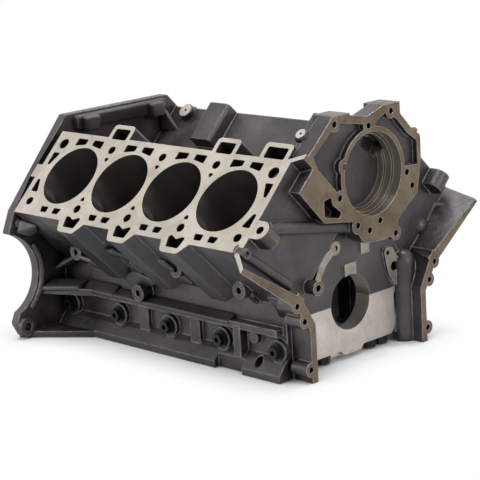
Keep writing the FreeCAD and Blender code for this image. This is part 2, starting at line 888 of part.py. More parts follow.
def add_chest(body, bank):
    """Walls and screw bosses that carry the front cover."""
    deck = S.deck_height
    reach = -1 * S.chest_corner_reach
    edge = -1 * S.deck_outboard
    low = deck - S.chest_root_depth
    root = bank.front_bore + S.chest_root
    add_wall(body, bank, "chest_wall", [
        across(bank, deck, reach),
        across(bank, deck, reach + S.chest_corner_strip),
        *outward(bank, [
            (S.chest_throat_y - S.chest_strip, S.chest_throat_z - S.chest_strip),
            (S.chest_knee_y - S.chest_strip / 2, S.chest_knee_z - S.chest_strip),
        ]),
    ], [
        across(bank, deck, edge),
        across(bank, deck, edge + S.chest_root_strip),
        across(bank, low, edge + S.chest_root_strip),
        across(bank, low, edge),
    ], root)
    strip = front_sketch(body, "chest_strip", S.front_face, bank)
    inside = S.chest_waist_y - S.chest_strip
    outline(strip, outward(bank, [
        (S.chest_throat_y, S.chest_throat_z),
        (S.chest_knee_y, S.chest_knee_z),
        (S.chest_waist_y, -1 * S.chest_waist_z),
        (S.chest_waist_y, -1 * S.pan_rail_drop),
        (inside, -1 * S.pan_rail_drop),
        (inside, 0),
    ]))
    grow(body, strip, S.chest_depth, True)
    bosses = front_sketch(body, "chest_bosses", S.front_face, bank)
    places = (
        (S.chest_upper_boss_y, S.chest_upper_boss_z),
        (S.chest_lower_boss_y, -1 * S.chest_lower_boss_z),
    )
    for y, z in outward(bank, places):
        circle(bosses, y, z, S.chest_boss_radius)
    grow(body, bosses, S.chest_boss_depth, True)
    middle = front_sketch(body, "chest_middle_boss", S.front_face, bank)
    places += ((S.chest_middle_boss_y, S.chest_middle_boss_z),)
    circle(middle, *outward(bank, places[-1:])[0], S.chest_boss_radius)
    grow(body, middle, S.chest_boss_depth, True)
    holes = front_sketch(body, "chest_holes", S.front_face, bank)
    for y, z in outward(bank, places):
        circle(holes, y, z, S.chest_hole / 2)
    cut(body, holes, S.chest_hole_depth)


def add_inner_wall(body, bank):
    """The wall that joins the deck to the pump housing on the valley side of the timing chest."""
    deck = S.deck_height
    root = bank.front_bore + S.chest_root
    inner = S.inner_wall_reach
    wall_low = deck - S.inner_wall_depth
    root_reach = S.inner_wall_root
    strip = S.inner_wall_strip
    add_wall(body, bank, "inner_wall", [
        across(bank, deck, inner),
        across(bank, deck, inner - strip),
        across(bank, wall_low, inner - strip),
        across(bank, wall_low, inner),
    ], [
        across(bank, deck, root_reach + strip),
        across(bank, deck, root_reach),
        across(bank, wall_low, root_reach),
        across(bank, wall_low, root_reach + strip),
    ], root)


def add_pump_housing(body):
    """The water pump housing between the banks, with its machined face, volute bore and recesses."""
    face = front_sketch(body, "pump_face", S.front_face)
    outline(face, [
        (-1 * S.pump_left_y, S.pump_left_z),
        (-1 * S.pump_notch_y, S.pump_notch_z),
        (-1 * S.pump_ear_y, S.pump_ear_z),
        (-1 * S.pump_crown_left_y, S.pump_crown_z, 4),
        (-1 * S.pump_crown_left_y + S.pump_crown_width / 2, S.pump_crown_z),
        (S.pump_saddle_y, S.pump_saddle_z, 8),
        (S.pump_crown_right_y - S.pump_crown_width, S.pump_crown_z),
        (S.pump_crown_right_y, S.pump_crown_z),
        (S.pump_crown_right_y, S.pump_crown_z - S.pump_crown_width / 2),
        (S.pump_shoulder_y, S.pump_shoulder_z),
        (S.pump_cheek_y, S.pump_cheek_z, 5),
        (S.pump_cheek_y, S.pump_cheek_low_z, 8),
        (S.pump_flank_y, S.pump_flank_z, 10),
        (S.pump_hip_y, S.pump_hip_z),
        (S.pump_hip_y, S.pump_foot_z + 4, 8),
        (S.pump_foot_y, S.pump_foot_z),
        (-1 * S.pump_toe_y + 9, S.pump_foot_z + 2),
        (-1 * S.pump_toe_y, S.pump_toe_z),
        (-1 * S.pump_belly_y, S.pump_belly_z),
        (-1 * S.pump_chin_y, S.pump_chin_z, 8),
    ])
    grow(body, face, S.pump_depth, True)
    barrel = front_sketch(body, "pump_barrel", S.front_face)
    circle(barrel, S.pump_y, S.pump_z, S.pump_barrel_radius)
    grow(body, barrel, S.pump_barrel_depth, True)


PUMP_HOLES = (
    (-1, "crown_left"), (1, "crown_right"), (1, "saddle"), (-1, "ring"), (-1, "belly"),
    (1, "cheek"), (1, "flank"), (1, "heel"), (1, "sole"), (-1, "toe"), (1, "hip"),
)


def pump_hole_places():
    return [(side * getattr(S, f"pump_{name}_hole_y"), getattr(S, f"pump_{name}_hole_z"))
            for side, name in PUMP_HOLES]


def cut_pump(body):
    """Recesses inside the machined rim, the stepped bore of the pump and its screw holes."""
    recess = front_sketch(body, "pump_recess_left", S.front_face)
    rim = S.pump_rim
    outline(recess, [
        (-1 * S.pump_notch_y + rim + 2, S.pump_notch_z - 3),
        (-1 * S.pump_ear_y + rim + 3, S.pump_ear_z - 1),
        (-1 * S.pump_crown_left_y + rim, S.pump_crown_z - rim - 2),
        (S.pump_saddle_y - rim, S.pump_saddle_z - rim - 2),
        (S.pump_y, S.pump_z + S.pump_mouth_radius),
        (S.pump_y - S.pump_mouth_radius, S.pump_z),
        (S.pump_y - S.pump_mouth_radius - rim, S.pump_z - 3 * rim),
    ])
    cut(body, recess, S.pump_recess)
    recess = front_sketch(body, "pump_recess_right", S.front_face)
    outline(recess, [
        (S.pump_y, S.pump_z + S.pump_mouth_radius),
        (S.pump_saddle_y + 3 * rim, S.pump_saddle_z - rim),
        (S.pump_crown_right_y - S.pump_crown_width + rim, S.pump_crown_z - rim - 2),
        (S.pump_crown_right_y - rim, S.pump_crown_z - S.pump_crown_width / 2 - rim),
        (S.pump_shoulder_y - rim, S.pump_shoulder_z - rim),
        (S.pump_cheek_y - rim, S.pump_cheek_z - rim),
        (S.pump_cheek_y - rim, S.pump_z - 3),
        (S.pump_y + S.pump_mouth_radius, S.pump_z),
    ])
    cut(body, recess, S.pump_recess)
    ring = front_sketch(body, "pump_ring", S.front_face - S.pump_recess - 2)
    circle(ring, S.pump_y, S.pump_z, S.pump_ring_radius)
    grow(body, ring, S.pump_recess + 2)
    for number, (y, z) in enumerate(pump_hole_places()[:5], start=1):
        boss = front_sketch(body, f"pump_boss_{number}", S.front_face - S.pump_recess - 2)
        circle(boss, y, z, S.pump_boss_radius)
        grow(body, boss, S.pump_recess + 2)
    mouth = front_sketch(body, "pump_mouth", S.front_face)
    circle(mouth, S.pump_y, S.pump_z, S.pump_mouth_radius)
    cut(body, mouth, S.pump_mouth_depth)
    seat = front_sketch(body, "pump_seat", S.front_face)
    circle(seat, S.pump_y, S.pump_z, S.pump_seat_radius)
    cut(body, seat, S.pump_seat_depth)
    volute = front_sketch(body, "pump_volute", S.front_face)
    circle(volute, S.pump_y, S.pump_z, S.pump_volute_radius)
    cut(body, volute, S.pump_volute_depth)
    port = front_sketch(body, "pump_port", S.front_face - S.pump_seat_depth + 1)
    outline(port, [
        (S.pump_y + S.port_near, S.pump_z + S.port_middle),
        (S.pump_y + S.port_far - S.port_near, S.pump_z + S.port_low),
        (S.pump_y + S.port_far, S.pump_z + S.port_middle),
        (S.pump_y + 2 * S.port_near, S.pump_z + S.port_high),
    ])
    cut(body, port, S.port_depth)
    holes = front_sketch(body, "pump_holes", S.front_face)
    for y, z in pump_hole_places():
        circle(holes, y, z, S.pump_hole / 2)
    cut(body, holes, S.pump_hole_depth)
    window = front_sketch(body, "pump_window", S.front_face)
    corner = S.window_corner
    outline(window, [
        (-1 * S.pump_window_y - 10, S.pump_window_z, corner),
        (-1 * S.pump_window_y - 10, S.pump_window_z - 20, corner),
        (-1 * S.pump_window_y + 16, S.pump_window_z - 26, corner),
        (-1 * S.pump_window_y + 21, S.pump_window_z - 20, corner),
        (-1 * S.pump_window_y + 6, S.pump_window_z - 8, corner),
        (-1 * S.pump_window_y + 3, S.pump_window_z + 3, corner),
    ])
    cut(body, window, S.pump_depth)


def add_pump_feet(body):
    """Screw bosses that hang below the pump face, and the crown blocks that run back over the valley."""
    feet = front_sketch(body, "pump_toe", S.front_face)
    circle(feet, -1 * S.pump_toe_hole_y, S.pump_toe_hole_z, S.pump_boss_radius + 1.5)
    grow(body, feet, S.pump_depth, True)
    feet = front_sketch(body, "pump_heel", S.front_face)
    circle(feet, S.pump_hip_hole_y, S.pump_hip_hole_z, S.pump_boss_radius)
    grow(body, feet, S.pump_depth, True)
    for side, half in ((-1, S.pump_crown_left_y), (1, S.pump_crown_right_y)):
        title = "pump_crown_left" if side < 0 else "pump_crown_right"
        crown = front_sketch(body, title, S.front_face)
        inner = half - S.pump_crown_width
        low = S.pump_crown_z - S.pump_crown_width
        outline(crown, [
            (side * inner, S.pump_crown_z),
            (side * half, S.pump_crown_z),
            (side * half, low),
            (side * inner, low),
        ])
        grow(body, crown, S.pump_crown_depth, True)


def add_front_tubes(body):
    """The two cast tubes of the right side of the timing chest."""
    turn = Rotation(Vector(1, 0, 0), 90 - S.tube_slope.number)
    tube = new_sketch(body, "drain_tube", turn, (S.tube_x, -1 * S.tube_y, S.tube_z))
    circle(tube, 0, 0, S.tube_radius)
    grow(body, tube, S.tube_length)


def add_ball(body, name, at, radius):
    """A domed end: a ball whose centre is placed by formulas."""
    ball = body.newObject("PartDesign::AdditiveSphere", name)
    ball.AttachmentSupport = (body.Origin.OriginFeatures[3], [""])
    ball.MapMode = "FlatFace"
    ball.setExpression("Radius", radius.formula)
    for axis, v in zip("xyz", at):
        ball.setExpression(f"AttachmentOffset.Base.{axis}", as_size(v).formula)
    ball.Refine = False
    doc.recompute()


def add_web_details(body):
    """Bosses and pads that stand on the front web."""
    turn = Rotation(Vector(1, 0, 0), 90 - S.spout_slope.number)
    spout = new_sketch(body, "spout", turn, (S.spout_x, -1 * S.spout_y, S.spout_z))
    circle(spout, 0, 0, S.tube_radius)
    grow(body, spout, S.spout_length)
    standoff = front_sketch(body, "standoff", WEB_FACE - 10)
    circle(standoff, -1 * S.standoff_y, S.standoff_z, S.standoff_radius)
    grow(body, standoff, S.front_face - WEB_FACE + 10)
    hole = front_sketch(body, "standoff_hole", S.front_face)
    circle(hole, -1 * S.standoff_y, S.standoff_z, S.standoff_hole / 2)
    cut(body, hole, S.standoff_hole_depth)
    guide = front_sketch(body, "guide_boss", WEB_FACE - 2)
    circle(guide, -1 * S.guide_y, S.guide_z, S.guide_radius)
    grow(body, guide, S.guide_height + 2)
    hole = front_sketch(body, "guide_hole", WEB_FACE + S.guide_height)
    circle(hole, -1 * S.guide_y, S.guide_z, S.pump_hole / 2)
    cut(body, hole, S.chest_hole_depth)
    rib = front_sketch(body, "guide_rib", WEB_FACE - 2)
    width = S.guide_width
    outline(rib, [
        (-1 * S.guide_y, S.guide_z + width),
        (-1 * S.guide_bend_y, S.guide_bend_z),
        (-1 * S.guide_far_y, S.guide_far_z),
        (-1 * S.guide_far_y + width, S.guide_far_z - width / 2),
        (-1 * S.guide_bend_y + width, S.guide_bend_z - width),
        (-1 * S.guide_y, S.guide_z - width / 2),
    ])
    grow(body, rib, S.guide_height + 2)
    column = new_sketch(body, "front_column", UP, (WEB_FACE, S.column_y, -1 * S.pan_rail_drop))
    circle(column, 0, 0, S.column_radius)
    grow(body, column, S.pan_rail_drop + S.column_top)
    add_ball(body, "column_dome", (WEB_FACE, S.column_y, S.column_top), S.column_radius)
    pad = front_sketch(body, "outlet_pad", WEB_FACE - 2)
    corner = S.outlet_screw_hole
    outline(pad, [
        (S.outlet_upper_y - 8, S.outlet_upper_z + 9, corner),
        (S.outlet_upper_y + 9, S.outlet_upper_z + 6, corner),
        (S.outlet_lower_y + 7, S.outlet_lower_z + 18, corner),
        (S.outlet_lower_y + 7, S.outlet_lower_z - 9, corner),
        (S.outlet_lower_y - 8, S.outlet_lower_z - 5, corner),
        (S.outlet_y - 12, S.outlet_z - 6, corner),
    ])
    grow(body, pad, S.outlet_height + 2)
    face = WEB_FACE + S.outlet_height
    hole = front_sketch(body, "outlet_hole", face)
    circle(hole, S.outlet_y, S.outlet_z, S.outlet_hole / 2)
    cut(body, hole, S.standoff_hole_depth)
    holes = front_sketch(body, "outlet_screw_holes", face)
    circle(holes, S.outlet_upper_y, S.outlet_upper_z, S.outlet_screw_hole / 2)
    circle(holes, S.outlet_lower_y, S.outlet_lower_z, S.outlet_screw_hole / 2)
    cut(body, holes, S.chest_hole_depth)
    spots = front_sketch(body, "web_spots", WEB_FACE - 2)
    half = S.spot_width / 2
    outline(spots, rectangle(-1 * half, half, S.spot_low, S.spot_high))
    half = S.foot_spot_width / 2
    outline(spots, rectangle(
        S.foot_spot_y - half, S.foot_spot_y + half, S.foot_spot_low, S.foot_spot_high))
    grow(body, spots, S.web_spot_height + 2)


def add_rear_flange(body):
    """The bell housing flange: a plate with scalloped sides, ears at its foot and bosses at its top."""
    plate = front_sketch(body, "rear_plate", -1 * S.rear_face)
    half = [
        (-1 * S.rear_top_half_width, S.rear_top_rise, 5),
        (-1 * S.rear_deck_y, S.rear_deck_z),
        (-1 * S.rear_bank_y, S.rear_bank_z),
        (-1 * S.rear_tip_y, S.rear_tip_z, 4),
        (-1 * S.rear_ear_y + 20, S.rear_scallop_z),
        (-1 * S.rear_ear_y - S.rear_ear_radius, -1 * S.rear_ear_drop + 6, 9),
        (-1 * S.rear_ear_y - 4, -1 * S.pan_rail_drop + 2, 8),
        (-1 * S.pan_rail_half_width - 25, -1 * S.pan_rail_drop),
    ]
    outline(plate, half + mirrored(half))
    grow(body, plate, S.rear_flange)
    scallops = front_sketch(body, "rear_scallops", -1 * S.rear_face)
    for side in (-1, 1):
        circle(scallops, side * S.rear_scallop_y, S.rear_scallop_z, S.rear_scallop_radius)
    cut(body, scallops, S.rear_flange, True)
    holes = front_sketch(body, "rear_bolt_holes", -1 * S.rear_face)
    for side in (-1, 1):
        circle(holes, side * S.rear_ear_y, -1 * S.rear_ear_drop, S.rear_bolt_hole / 2)
        circle(holes, side * S.rear_top_bolt_y, S.rear_top_bolt_z, S.rear_bolt_hole / 2)
        circle(holes, side * S.rear_tip_bolt_y, S.rear_tip_bolt_z, S.rear_bolt_hole / 2)
    cut(body, holes, S.rear_flange, True)
    for side, title in ((-1, "right"), (1, "left")):
        rail = new_sketch(body, f"rear_rail_{title}", UP, (0, 0, -1 * S.pan_rail_drop))
        inner = side * (S.skirt_half_width - 2)
        outline(rail, [
            (-1 * S.rear_face + 2, inner),
            (-1 * S.rear_flare_start, inner),
            (-1 * S.rear_flare_start, side * S.pan_rail_half_width),
            (-1 * S.rear_face + 2, side * (S.rear_ear_y + 4)),
        ])
        grow(body, rail, S.pan_rail_thickness)
        shelf = new_sketch(body, f"rear_shelf_{title}", UP, (0, 0, -1 * S.rib_drop - S.rib_half_height))
        outline(shelf, [
            (-1 * S.rear_face + 2, inner),
            (-1 * S.rear_flare_start, inner),
            (-1 * S.rear_flare_start, side * S.rib_reach),
            (-1 * S.rear_face + 2, side * (S.rear_scallop_y - S.rear_scallop_radius + 6)),
        ])
        grow(body, shelf, 2 * S.rib_half_height)


def side_sketch(body, name, bank, reach, x=0, z=0):
    """A sketch on a flank: x runs forward, y runs up, its back is the block on the right side."""
    return new_sketch(body, f"{name}_{bank.name}", SIDE, (x, bank.side * reach, z))


def add_flank(body, bank):
    """The long rib, the side bolt bosses and the pan rail of one side of the skirt."""
    near = bank.side < 0
    rib = side_sketch(body, "flank_rib", bank, S.skirt_half_width - 2)
    outline(rib, rectangle(
        -1 * S.rear_face + S.rear_flange, WEB_FACE - 6,
        -1 * S.rib_drop - S.rib_half_height, -1 * S.rib_drop + S.rib_half_height))
    grow(body, rib, S.rib_reach - S.skirt_half_width + 2, not near)
    bosses = side_sketch(body, "side_bolt_bosses", bank, S.skirt_half_width - 2)
    for x in main_positions():
        circle(bosses, x, -1 * S.side_bolt_drop, S.side_boss_radius)
    grow(body, bosses, S.side_boss_reach - S.skirt_half_width + 2, not near)
    low = -1 * S.pan_rail_drop + S.rail_ledge_rise - 1
    posts = side_sketch(body, "skirt_posts", bank, S.skirt_half_width - 2)
    for x in (S.bore_pitch / 2, -1 * S.bore_pitch / 2):
        half = S.post_width / 2
        outline(posts, rectangle(x - half, x + half, low, -1 * S.rib_drop))
    grow(body, posts, S.post_reach - S.skirt_half_width + 2, not near)
    strut = side_sketch(body, "skirt_strut", bank, S.skirt_half_width - 2)
    half = S.strut_width / 2
    outline(strut, rectangle(S.strut_x - half, S.strut_x + half, low, -1 * S.rib_drop))
    grow(body, strut, S.strut_reach - S.skirt_half_width + 2, not near)
    stub = side_sketch(body, "skirt_stub", bank, S.skirt_half_width - 2)
    circle(stub, S.stub_x, -1 * S.stub_drop, S.stub_radius)
    grow(body, stub, S.stub_reach - S.skirt_half_width + 2, not near)


MOUNT_BOSSES = ("rear", "low", "middle", "front")


def mount_boss(name, bank):
    """Where an engine mount boss stands on a flank: its x, z and how far out its face is."""
    x, z, reach = (getattr(S, f"mount_{name}_{part}") for part in ("x", "z", "reach"))
    return (x if bank.side < 0 else x - S.bank_stagger), z, reach


def add_mount_bosses(body, bank):
    """Threaded bosses for the engine mount bracket, each on a web that runs down to the skirt."""
    near = bank.side < 0
    for name in MOUNT_BOSSES:
        x, z, reach = mount_boss(name, bank)
        boss = side_sketch(body, f"mount_{name}", bank, S.skirt_half_width - 2)
        circle(boss, x, z, S.mount_boss_radius)
        grow(body, boss, reach - S.skirt_half_width + 2, not near)
        web = front_sketch(body, f"mount_{name}_web", x + S.mount_web / 2, bank)
        outline(web, outward(bank, [
            (S.skirt_half_width - 2, z + S.mount_web_high),
            (reach - 2, z),
            (S.skirt_half_width - 2, z - S.mount_web_low),
        ]))
        grow(body, web, S.mount_web, True)


right, left = BANKS
solids = []
for bank in BANKS:
    body = new_body(f"{bank.name}_bank")
    add_bank(body, bank)
    add_drain_columns(body, bank)
    add_return_columns(body, bank)
    add_deck_ear(body, bank)
    cut_deck_holes(body, bank)
    cut_jacket(body, bank)
    cut_windows(body, bank)
    solids.append(body)
    body = new_body(f"{bank.name}_chest")
    add_chest(body, bank)
    solids.append(body)
case = new_body("crankcase")
add_crankcase(case)
for bank in BANKS:
    add_flank(case, bank)
    add_mount_bosses(case, bank)
add_web_details(case)
solids.append(case)
pump = new_body("pump_housing")
add_pump_housing(pump)
add_pump_feet(pump)
for bank in BANKS:
    add_inner_wall(pump, bank)
add_front_tubes(pump)
cut_pump(pump)
solids.append(pump)
rear = new_body("rear_flange")
add_rear_flange(rear)
solids.append(rear)

def main_bolt_holes(body):
    """Clearance for the four vertical bolts of each main cap, from the parting line up."""
    for title, offset, length in (
        ("inner", S.inner_bolt_offset, S.inner_bolt_length),
        ("outer", S.outer_bolt_offset, S.outer_bolt_length),
    ):
        plan = new_sketch(body, f"{title}_bolt_holes", UP, (0, 0, -1))
        for x in main_positions():
            for side in (-1, 1):
                circle(plan, x, side * offset, (S.main_bolt_shank + S.main_bolt_fit) / 2)
        grow(body, plan, length - S.cap_height + S.bolt_hole_margin + 1)


def side_bolt_holes(body):
    """Holes of the cross bolts, from flank to flank below the crankshaft."""
    reach = S.side_boss_reach + 1
    plan = new_sketch(body, "side_bolt_holes", SIDE, (0, reach, 0))
    for x in main_positions():
        circle(plan, x, -1 * S.side_bolt_drop, (S.side_bolt_shank + S.main_bolt_fit) / 2)
    grow(body, plan, 2 * reach)


def dowel_holes(body):
    plan = front_sketch(body, "rear_dowel_holes", -1 * S.rear_face - 1)
    for side in (-1, 1):
        circle(plan, side * S.rear_dowel_y, S.rear_dowel_z, S.rear_dowel_radius)
    grow(body, plan, S.rear_dowel_depth + 1)


def window_through_skirt(body):
    plan = new_sketch(body, "skirt_hole", SIDE, (0, -1 * S.skirt_half_width + S.skirt_wall + 2, 0))
    circle(plan, S.see_through_x, -1 * S.see_through_drop, S.see_through_hole / 2)
    grow(body, plan, S.skirt_wall + 20)


def mount_boss_holes(body):
    """Threaded holes of the engine mount bosses, as plain holes of the thread's size."""
    for bank in BANKS:
        for name in MOUNT_BOSSES:
            x, z, reach = mount_boss(name, bank)
            hole = side_sketch(body, f"mount_{name}_hole", bank, reach + 1)
            circle(hole, x, z, S.mount_boss_hole / 2)
            grow(body, hole, S.mount_boss_depth + 1, bank.side < 0)


def web_notch(body):
    """The notch beside the front cap."""
    plan = front_sketch(body, "web_notch", WEB_FACE + 1)
    outline(plan, rectangle(
        S.web_notch_near, S.web_notch_far, -1 * S.web_notch_low, -1 * S.web_notch_high))
    grow(body, plan, S.web_notch_depth + 1, True)


def rail_notches(body):
    """The step in each pan rail ahead of the fourth side bolt."""
    for bank in BANKS:
        x = bank.front_bore - FIRST_BORE - S.bank_stagger / 2
        plan = new_sketch(body, f"rail_notch_{bank.name}", UP, (x, 0, -1 * S.pan_rail_drop - 1))
        reach = bank.side * S.rail_notch_reach
        edges = [
            (S.rail_notch_rear, reach),
            (S.rail_notch_front, reach),
            (S.rail_notch_front, bank.side * (S.pan_rail_half_width + 1)),
            (S.rail_notch_rear, bank.side * (S.pan_rail_half_width + 1)),
        ]
        outline(plan, edges)
        grow(body, plan, S.rail_ledge_rise)


tools = []
for name, draw in (
    ("mount_boss_holes", mount_boss_holes),
    ("web_notch", web_notch),
    ("rail_notches", rail_notches),
    ("main_bolt_holes", main_bolt_holes),
    ("side_bolt_holes", side_bolt_holes),
    ("dowel_holes", dowel_holes),
    ("skirt_hole", window_through_skirt),
):
    body = new_body(name)
    draw(body)
    tools.append(body)
bays = new_body("crank_bays")
crank_bays(bays)
tools.append(bays)
tunnel = new_body("main_tunnel")
main_tunnel(tunnel)
tools.append(tunnel)
for bank in BANKS:
    bores = new_body(f"{bank.name}_bores")
    cylinder_bores(bores, bank)
    tools.append(bores)


def combine(kind, name, parts):
    """One boolean of the Part workbench over whole bodies."""
    result = doc.addObject(kind, name)
    result.Label = name
    result.Shapes = parts
    result.Refine = False
    return result


def subtract(name, base, tool):
    result = doc.addObject("Part::Cut", name)
    result.Label = name
    result.Base = base
    result.Tool = tool
    return result


block = subtract(
    "cylinder_block",
    combine("Part::MultiFuse", "rough_casting", solids),
    combine("Part::MultiFuse", "machining", tools),
)
block.Refine = False
doc.recompute()


# ---------------------------------------------------------------------------------------------
# Main caps, bolts and dowels
# ---------------------------------------------------------------------------------------------
def main_cap(number, x):
    """One main bearing cap, flush with its web and cross-bolted through both flanks."""
    body = new_body(f"main_cap_{number}")
    start = x - S.main_width / 2
    face = front_sketch(body, f"cap_{number}_face", start)
    half = S.cap_half_width
    keel = S.cap_keel_width / 2
    low = -1 * S.cap_height
    outline(face, [
        (-1 * half, 0),
        (-1 * half, low + 8, 6),
        (-1 * half + 6, low, 4),
        (-1 * keel, low, 6),
        (-1 * keel + S.cap_keel, low - S.cap_keel, 3),
        (keel - S.cap_keel, low - S.cap_keel, 3),
        (keel, low, 6),
        (half - 6, low, 4),
        (half, low + 8, 6),
        (half, 0),
    ])
    grow(body, face, S.main_width)
    bore = front_sketch(body, f"cap_{number}_bore", start)
    circle(bore, 0, 0, S.main_bore_diameter / 2)
    cut(body, bore, S.main_width, True)
    holes = new_sketch(body, f"cap_{number}_bolt_holes", UP, (x, 0, 0))
    for side in (-1, 1):
        for offset in (S.inner_bolt_offset, S.outer_bolt_offset):
            circle(holes, 0, side * offset, (S.main_bolt_shank + S.main_bolt_fit) / 2)
    cut(body, holes, S.cap_height + S.cap_keel)
    depth = S.side_bolt_length - (S.side_boss_reach - S.cap_half_width) + S.bolt_hole_margin
    for side in (-1, 1):
        title = "right" if side < 0 else "left"
        hole = new_sketch(body, f"cap_{number}_side_hole_{title}", SIDE, (x, side * half, 0))
        circle(hole, 0, -1 * S.side_bolt_drop, (S.side_bolt_shank + S.main_bolt_fit) / 2)
        cut(body, hole, depth, side > 0)
    return body


def hexagon(sketch, across_flats):
    """A hexagon about the sketch's origin, with two corners on its x axis."""
    radius = across_flats / (2 * cosine(as_size(30)))
    corners = []
    for step in range(6):
        angle = as_size(60 * step)
        corners.append((radius * cosine(angle), radius * sine(angle)))
    outline(sketch, corners)


def flange_bolt(name, shank, length, flange, flange_height, head, head_height, socket=None):
    """A flanged hexagon bolt standing on its head: seat at the origin, shank up."""
    body = new_body(name)
    seat = new_sketch(body, f"{name}_flange", UP, (0, 0, 0))
    circle(seat, 0, 0, flange / 2)
    grow(body, seat, flange_height, True)
    top = new_sketch(body, f"{name}_head", UP, (0, 0, 0))
    hexagon(top, head)
    grow(body, top, head_height, True)
    stem = new_sketch(body, f"{name}_shank", UP, (0, 0, 0))
    circle(stem, 0, 0, shank / 2)
    grow(body, stem, length)
    if socket is not None:
        width, depth = socket
        drive = new_sketch(body, f"{name}_socket", UP, (0, 0, -1 * head_height))
        circle(drive, 0, 0, width / 2)
        cut(body, drive, depth, True)
    return body


def group(name, pattern, places):
    """Copies of one fastener in one sub-part, each at a place and turn read from the sheet."""
    feature = doc.addObject("Part::Feature", name)
    feature.Label = name
    copies = []
    for place in places:
        copy = pattern.Shape.Solids[0].copy()
        copy.Placement = place.multiply(copy.Placement)
        copies.append(copy)
    feature.Shape = Part.makeCompound(copies)
    return feature


def main_bolt_places(offset):
    return [Placement(Vector(x.number, side * offset.number, -S.cap_height.number), Rotation())
            for x in main_positions() for side in (-1, 1)]


def side_bolt_places():
    places = []
    for x in main_positions():
        for side in (-1, 1):
            seat = Vector(x.number, side * S.side_boss_reach.number, -S.side_bolt_drop.number)
            places.append(Placement(seat, Rotation(Vector(1, 0, 0), 90 * side)))
    return places


caps = [main_cap(number, x) for number, x in enumerate(main_positions(), start=1)]
main_bolt = (S.main_bolt_flange, S.main_bolt_flange_height, S.main_bolt_head, S.main_bolt_head_height)
inner_pattern = flange_bolt("inner_bolt", S.main_bolt_shank, S.inner_bolt_length, *main_bolt)
outer_pattern = flange_bolt("outer_bolt", S.main_bolt_shank, S.outer_bolt_length, *main_bolt)
side_pattern = flange_bolt(
    "side_bolt", S.side_bolt_shank, S.side_bolt_length, S.side_bolt_flange,
    S.side_bolt_flange_height, S.side_bolt_head, S.side_bolt_head_height,
    (S.side_bolt_socket, S.side_bolt_socket_depth),
)
inner_bolts = group("inner_main_bolts", inner_pattern, main_bolt_places(S.inner_bolt_offset))
outer_bolts = group("outer_main_bolts", outer_pattern, main_bolt_places(S.outer_bolt_offset))
side_bolts = group("side_bolts", side_pattern, side_bolt_places())


def rear_dowel(bank):
    """A locating dowel pressed into the rear face for the bell housing."""
    body = new_body(f"rear_dowel_{bank.name}")
    foot = front_sketch(body, "rear_dowel", -1 * S.rear_face + S.rear_dowel_depth, bank)
    circle(foot, bank.side * S.rear_dowel_y, S.rear_dowel_z, S.rear_dowel_radius)
    grow(body, foot, S.rear_dowel_depth + S.rear_dowel_proud, True)
    return body


dowels = [rear_dowel(bank) for bank in BANKS]

# ---------------------------------------------------------------------------------------------
# Checks and files
# ---------------------------------------------------------------------------------------------
NODES = (block, *caps, inner_bolts, outer_bolts, side_bolts, *dowels)
doc.recompute()
for item in doc.Objects:
    if {"Invalid", "Error"} & set(item.State):
        raise RuntimeError(f"{item.Name} did not compute")
for node in NODES:
    if node.Shape.isNull() or not node.Shape.isValid():
        raise RuntimeError(f"{node.Label} has no valid shape")
os.makedirs("parts", exist_ok=True)
for node in NODES:
    node.Shape.exportStep(f"parts/{node.Label}.step")
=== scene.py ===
# %% [markdown]
# # A bare V8 cylinder block, dressed for the camera
# The block comes in as measured solids: the casting, its five main caps, and the bolts and
# dowels. This script gives each surface its finish, adds the small webs and bosses that a
# foundry pattern leaves on the casting, and sets the block in a white studio.
#
# The casting could be modelled again here, but then two models of one block would have to
# agree. Loading the solids keeps every size in one place. Lengths are metres, X runs forward
# along the crankshaft, Z is up, and the near bank leans to -Y.

# %% Load the solids
import math

import bmesh
import bpy
from mathutils import Matrix, Vector


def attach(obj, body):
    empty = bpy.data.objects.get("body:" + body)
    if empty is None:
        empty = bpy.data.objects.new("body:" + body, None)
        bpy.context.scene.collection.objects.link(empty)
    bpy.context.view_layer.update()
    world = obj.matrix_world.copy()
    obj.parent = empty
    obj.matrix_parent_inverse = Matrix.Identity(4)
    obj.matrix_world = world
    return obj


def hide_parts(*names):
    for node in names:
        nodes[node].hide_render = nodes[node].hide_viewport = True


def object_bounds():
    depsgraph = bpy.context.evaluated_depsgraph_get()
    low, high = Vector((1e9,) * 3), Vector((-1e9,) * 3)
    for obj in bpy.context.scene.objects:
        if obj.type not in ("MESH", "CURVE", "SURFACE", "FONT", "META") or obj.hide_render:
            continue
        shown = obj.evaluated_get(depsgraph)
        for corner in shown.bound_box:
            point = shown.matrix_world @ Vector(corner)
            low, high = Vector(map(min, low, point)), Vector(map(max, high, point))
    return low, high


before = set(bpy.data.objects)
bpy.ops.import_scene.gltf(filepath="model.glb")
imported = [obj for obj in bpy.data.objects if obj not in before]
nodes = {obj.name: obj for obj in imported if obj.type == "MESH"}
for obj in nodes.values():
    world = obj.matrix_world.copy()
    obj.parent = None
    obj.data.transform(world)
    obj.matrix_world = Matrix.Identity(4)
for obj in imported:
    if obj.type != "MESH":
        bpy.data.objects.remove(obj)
cad_box = [list(corner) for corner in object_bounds()]
print(len(nodes), "nodes; CAD box", cad_box)

# %% [markdown]
# ## Two banks, two directions
# A V block has two decks, the flat faces that the cylinder heads sit on. Here they face up and
# outwards at 45 degrees. Two directions describe each bank: "up", square to its deck, and
# "inboard", across the deck towards the valley. A dot product with "up" gives a point's height
# above the crankshaft, which is simpler than turning the model until a deck lies level.

